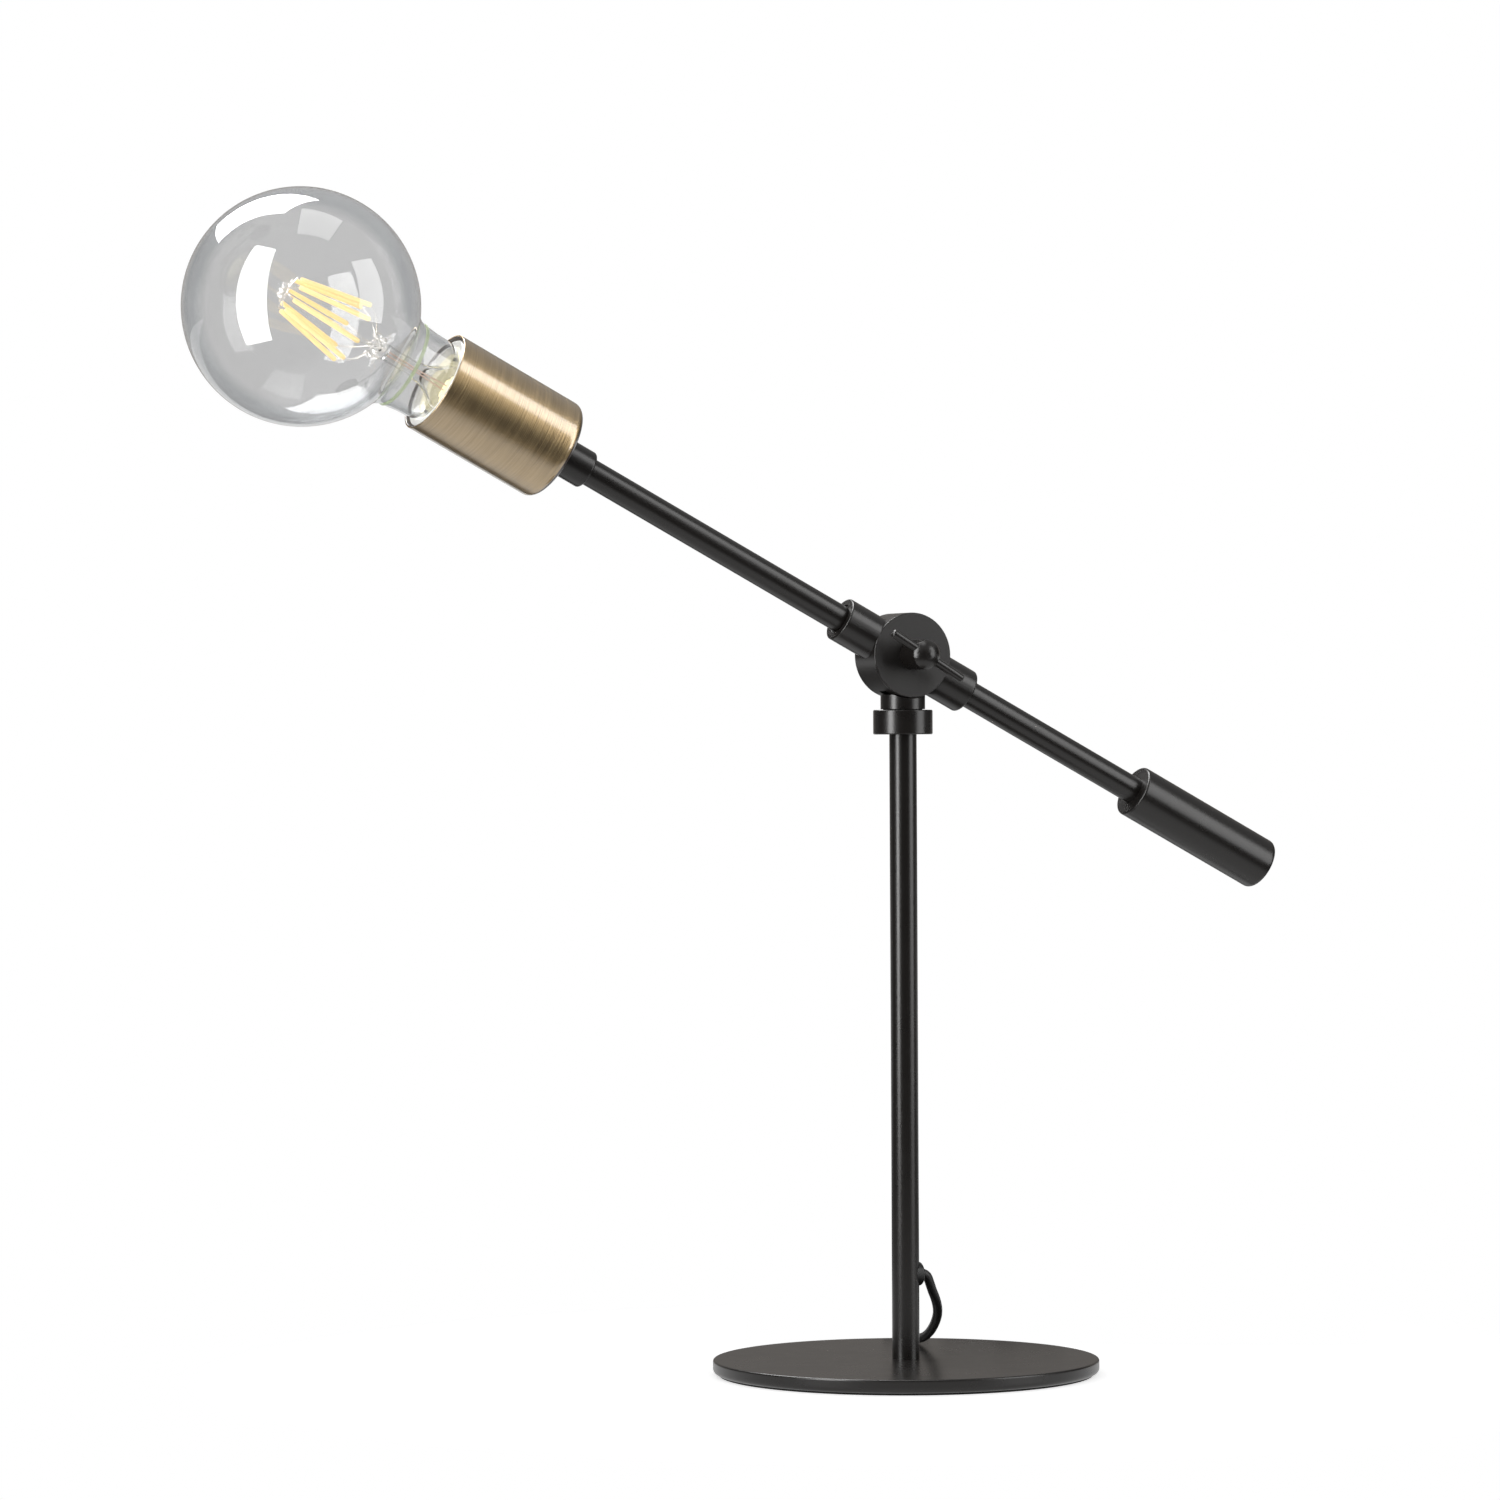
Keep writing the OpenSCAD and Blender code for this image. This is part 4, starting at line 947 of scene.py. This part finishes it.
class LAMP_OT_bulb(Step, bpy.types.Operator):
    """Blows the globe and builds its glass foot, wires, filament rods and screw cap"""

    bl_idname = "lamp.bulb"
    bl_label = "Bulb"

    def build(self):
        s = sizes()
        centre, back = on_bulb(0.0), -TO_BULB
        outer, inner = globe_profile(0.0), globe_profile(s.glass_wall / MM)
        wall = np.concatenate([outer, inner[::-1]]) * MM
        globe = piece("globe", [spun(wall, centre, back, s.turns)], finish("glass"), "bulb",
                      ["bulb_glass"])
        globe.visible_shadow = False
        self.seam()
        self.glass_foot()
        self.leads()
        self.rods()
        dress(finish("steel"), "bulb_cap", "bulb_tip")
        dress(finish("cream"), "bulb_cement", "bulb_driver")
        dress(finish("cap_insulator"), "bulb_insulator")

    def seam(self):
        """The faint seam where the neck was joined: a flat oval section carried round its near half."""
        sides, steps, half_turn = 16, 60, 86
        radius, depth, height, width = 18.2, 0.35, 48.2, 0.8
        a = np.linspace(0, 2 * math.pi, sides, endpoint=False)
        t = np.radians(np.linspace(-half_turn, half_turn, steps))[:, None]
        near = -AWAY + (AWAY @ TO_BULB) * TO_BULB
        near /= np.linalg.norm(near)
        over = np.cross(TO_BULB, near)
        r, z = radius + depth * np.cos(a), height + width * np.sin(a)
        ring = (r * np.cos(t))[..., None] * near + (r * np.sin(t))[..., None] * over
        points = (on_bulb(0.0) + ring * MM - (z * MM)[None, :, None] * TO_BULB).reshape(-1, 3)
        end = np.arange(sides)
        ends = [end[::-1].tolist(), (end + sides * (steps - 1)).tolist()]
        made = piece("globe_seam", [(points, [*skin(steps, sides, False, True).tolist(), *ends])],
                     finish("seam"), "bulb", ())
        made.visible_shadow = False

    def glass_foot(self):
        """The glass foot: a flare and a hollow stem in one wall, a button on it and the rod to the head."""
        low, seal = HUB_LOW, SEAL_Z
        outside = [(0, low + 2.2), (1.7, low + 1.6), (2.8, low + 2.4), (3.3, low + 4), (3.3, seal - 21),
                   (4, seal - 14), (5.7, seal - 10), (8.6, seal - 6), (10.9, seal - 1.6), (10.9, seal - 0.3)]
        inside = [(10.2, seal - 0.3), (7.9, seal - 5), (5, seal - 8.9), (3.3, seal - 13), (2.6, seal - 20),
                  (2.6, low + 4.6), (0, low + 4.2)]
        foot = spun(np.array(outside + inside) * MM, in_globe(0, 0, 0), -TO_HEAD, 48)
        a = np.linspace(-math.pi / 2, math.pi / 2, 12)
        buttons = []
        for z, r, h in ((low, 2.6, 2.2), (HUB_HIGH, 1.8, 1.4)):
            ball = np.stack([np.abs(r * np.cos(a)) * MM, (z + h * np.sin(a)) * MM], axis=-1)
            ball[[0, -1], 0] = 0
            buttons.append(spun(ball, in_globe(0, 0, 0), -TO_HEAD, 32))
        rod = carried(in_globe(0, 0, np.linspace(low - 1, HUB_HIGH + 1, 24)), 0.55 * MM, 16)
        made = piece("glass_stem", [foot, *buttons, rod], finish("foot_glass"), "bulb", ["bulb_stem"])
        made.visible_shadow = False

    def leads(self):
        """The wires: two leads up the hollow stem, a curl from the button to each rod's foot, and a spoke
        with a hook from the head to each rod's end. The head has a ring of wire round it."""
        low, high = HUB_LOW, HUB_HIGH
        lead_wire, curl_wire, spoke_wire, ring_wire = 0.28 * MM, 0.27 * MM, 0.22 * MM, 0.3 * MM
        spacing = 0.4 * MM
        made, bare = [], []
        for side in (0, 180):
            z = np.linspace(low + 4.9, SEAL_Z - 3, 20)
            twist = side + 25 * np.sin(z / 9)
            bare.append(carried(in_globe(0.8 + 0.25 * np.sin(z / 5), twist, z), lead_wire, 10))
        for i in range(RODS):
            turn = 360 * (i + 0.5) / RODS
            swing = 1 if i % 2 else -1
            r = np.array([0.9, 3.6, 4.8, 3.2, 2.6, 5.2, 4.6, 2.9, 6.6, 10.4, LOW_R])
            t = turn + swing * np.array([30, 24, -8, -26, 6, 22, 40, 18, 8, 4, 0])
            z = low + np.array([0.6, 2.6, 0.2, -2.2, 0.4, -0.8, -3.6, -2.0, -4.4, -7.4, FIL_LOW - low - 0.4])
            made.append(carried(smooth_line(in_globe(r, t, z), spacing), curl_wire, 8))
            r = np.array([0.6, 2.6, 3.4, 2.7, 4.4, HIGH_R])
            t = turn + swing * np.array([0, 14, 0, -18, 6, 0])
            z = np.array([high, high - 1.4, high + 0.4, high + 1.3, high + 1.5, FIL_HIGH - 0.8])
            made.append(carried(smooth_line(in_globe(r, t, z), spacing), spoke_wire, 8))
        made.append(carried(in_globe(3.0, np.linspace(0, 360, 49), high + 0.9), ring_wire, 8))
        piece("lead_wires", made, finish("wire"), "bulb", ["filament_frame"])
        piece("stem_leads", bare, finish("lead"), "bulb", ())

    def rods(self):
        """The filament rods: each a straight coated rod with rounded ends, between two metal ends. The coat
        starts and stops short of the metal, and swells a little to its middle."""
        short, end_out, end_in, end_wire = 0.1, 0.9, 1.5, 0.42 * MM
        coats, ends = [], []
        for i in range(RODS):
            turn = 360 * (i + 0.5) / RODS
            a, b = in_globe(LOW_R, turn, FIL_LOW), in_globe(HIGH_R, turn, FIL_HIGH)
            reach = np.linalg.norm(b - a)
            ahead = (b - a) / reach
            t = np.linspace(0, math.pi / 2, 7)
            rise = np.concatenate([1 - np.cos(t), [8, 16, 24], reach / MM - 1.2 + np.sin(t)])
            wide = np.concatenate([np.sin(t), [1.03, 1.05, 1.03], np.cos(t)])
            coat = np.stack([wide, rise + short], axis=-1) * MM
            coat[[0, -1], 0] = 0
            coats.append(spun(coat, a, ahead, 20))
            for at, way in ((a, 1), (b, -1)):
                line = at + way * ahead * np.linspace(-end_out, end_in, 5)[:, None] * MM
                ends.append(carried(line, end_wire, 12))
        piece("filaments", coats, finish("filament"), "bulb", ["filament_rods"])
        piece("filament_ends", ends, finish("wire"), "bulb", ())


class LAMP_PT_panel(bpy.types.Panel):
    """The lamp's sizes, colours and steps"""

    bl_label = "Balance arm lamp"
    bl_idname = "LAMP_PT_panel"
    bl_space_type = "VIEW_3D"
    bl_region_type = "UI"
    bl_category = "Lamp"

    def draw(self, context):
        for group in (context.scene.lamp_sizes, context.scene.lamp_colours):
            box = self.layout.box()
            for name in group.__annotations__:
                box.prop(group, name)
        for step in STEPS:
            self.layout.operator(step.bl_idname)


STEPS = (LAMP_OT_camera, LAMP_OT_cord, LAMP_OT_stage, LAMP_OT_foot, LAMP_OT_stem, LAMP_OT_knuckle,
         LAMP_OT_thumb_screw, LAMP_OT_arm, LAMP_OT_lampholder, LAMP_OT_bulb, LAMP_OT_fittings)
CLASSES = (LampSizes, LampColours, *STEPS, LAMP_PT_panel)


def register():
    """Makes the classes and the two property groups known to Blender."""
    for one in CLASSES:
        bpy.utils.register_class(one)
    bpy.types.Scene.lamp_sizes = PointerProperty(type=LampSizes)
    bpy.types.Scene.lamp_colours = PointerProperty(type=LampColours)


def unregister():
    """Takes them away again."""
    del bpy.types.Scene.lamp_colours, bpy.types.Scene.lamp_sizes
    for one in reversed(CLASSES):
        bpy.utils.unregister_class(one)


def main():
    """Runs every step in order."""
    register()
    for step in STEPS:
        group, name = step.bl_idname.split(".")
        getattr(getattr(bpy.ops, group), name)()


if __name__ == "__main__":
    main()
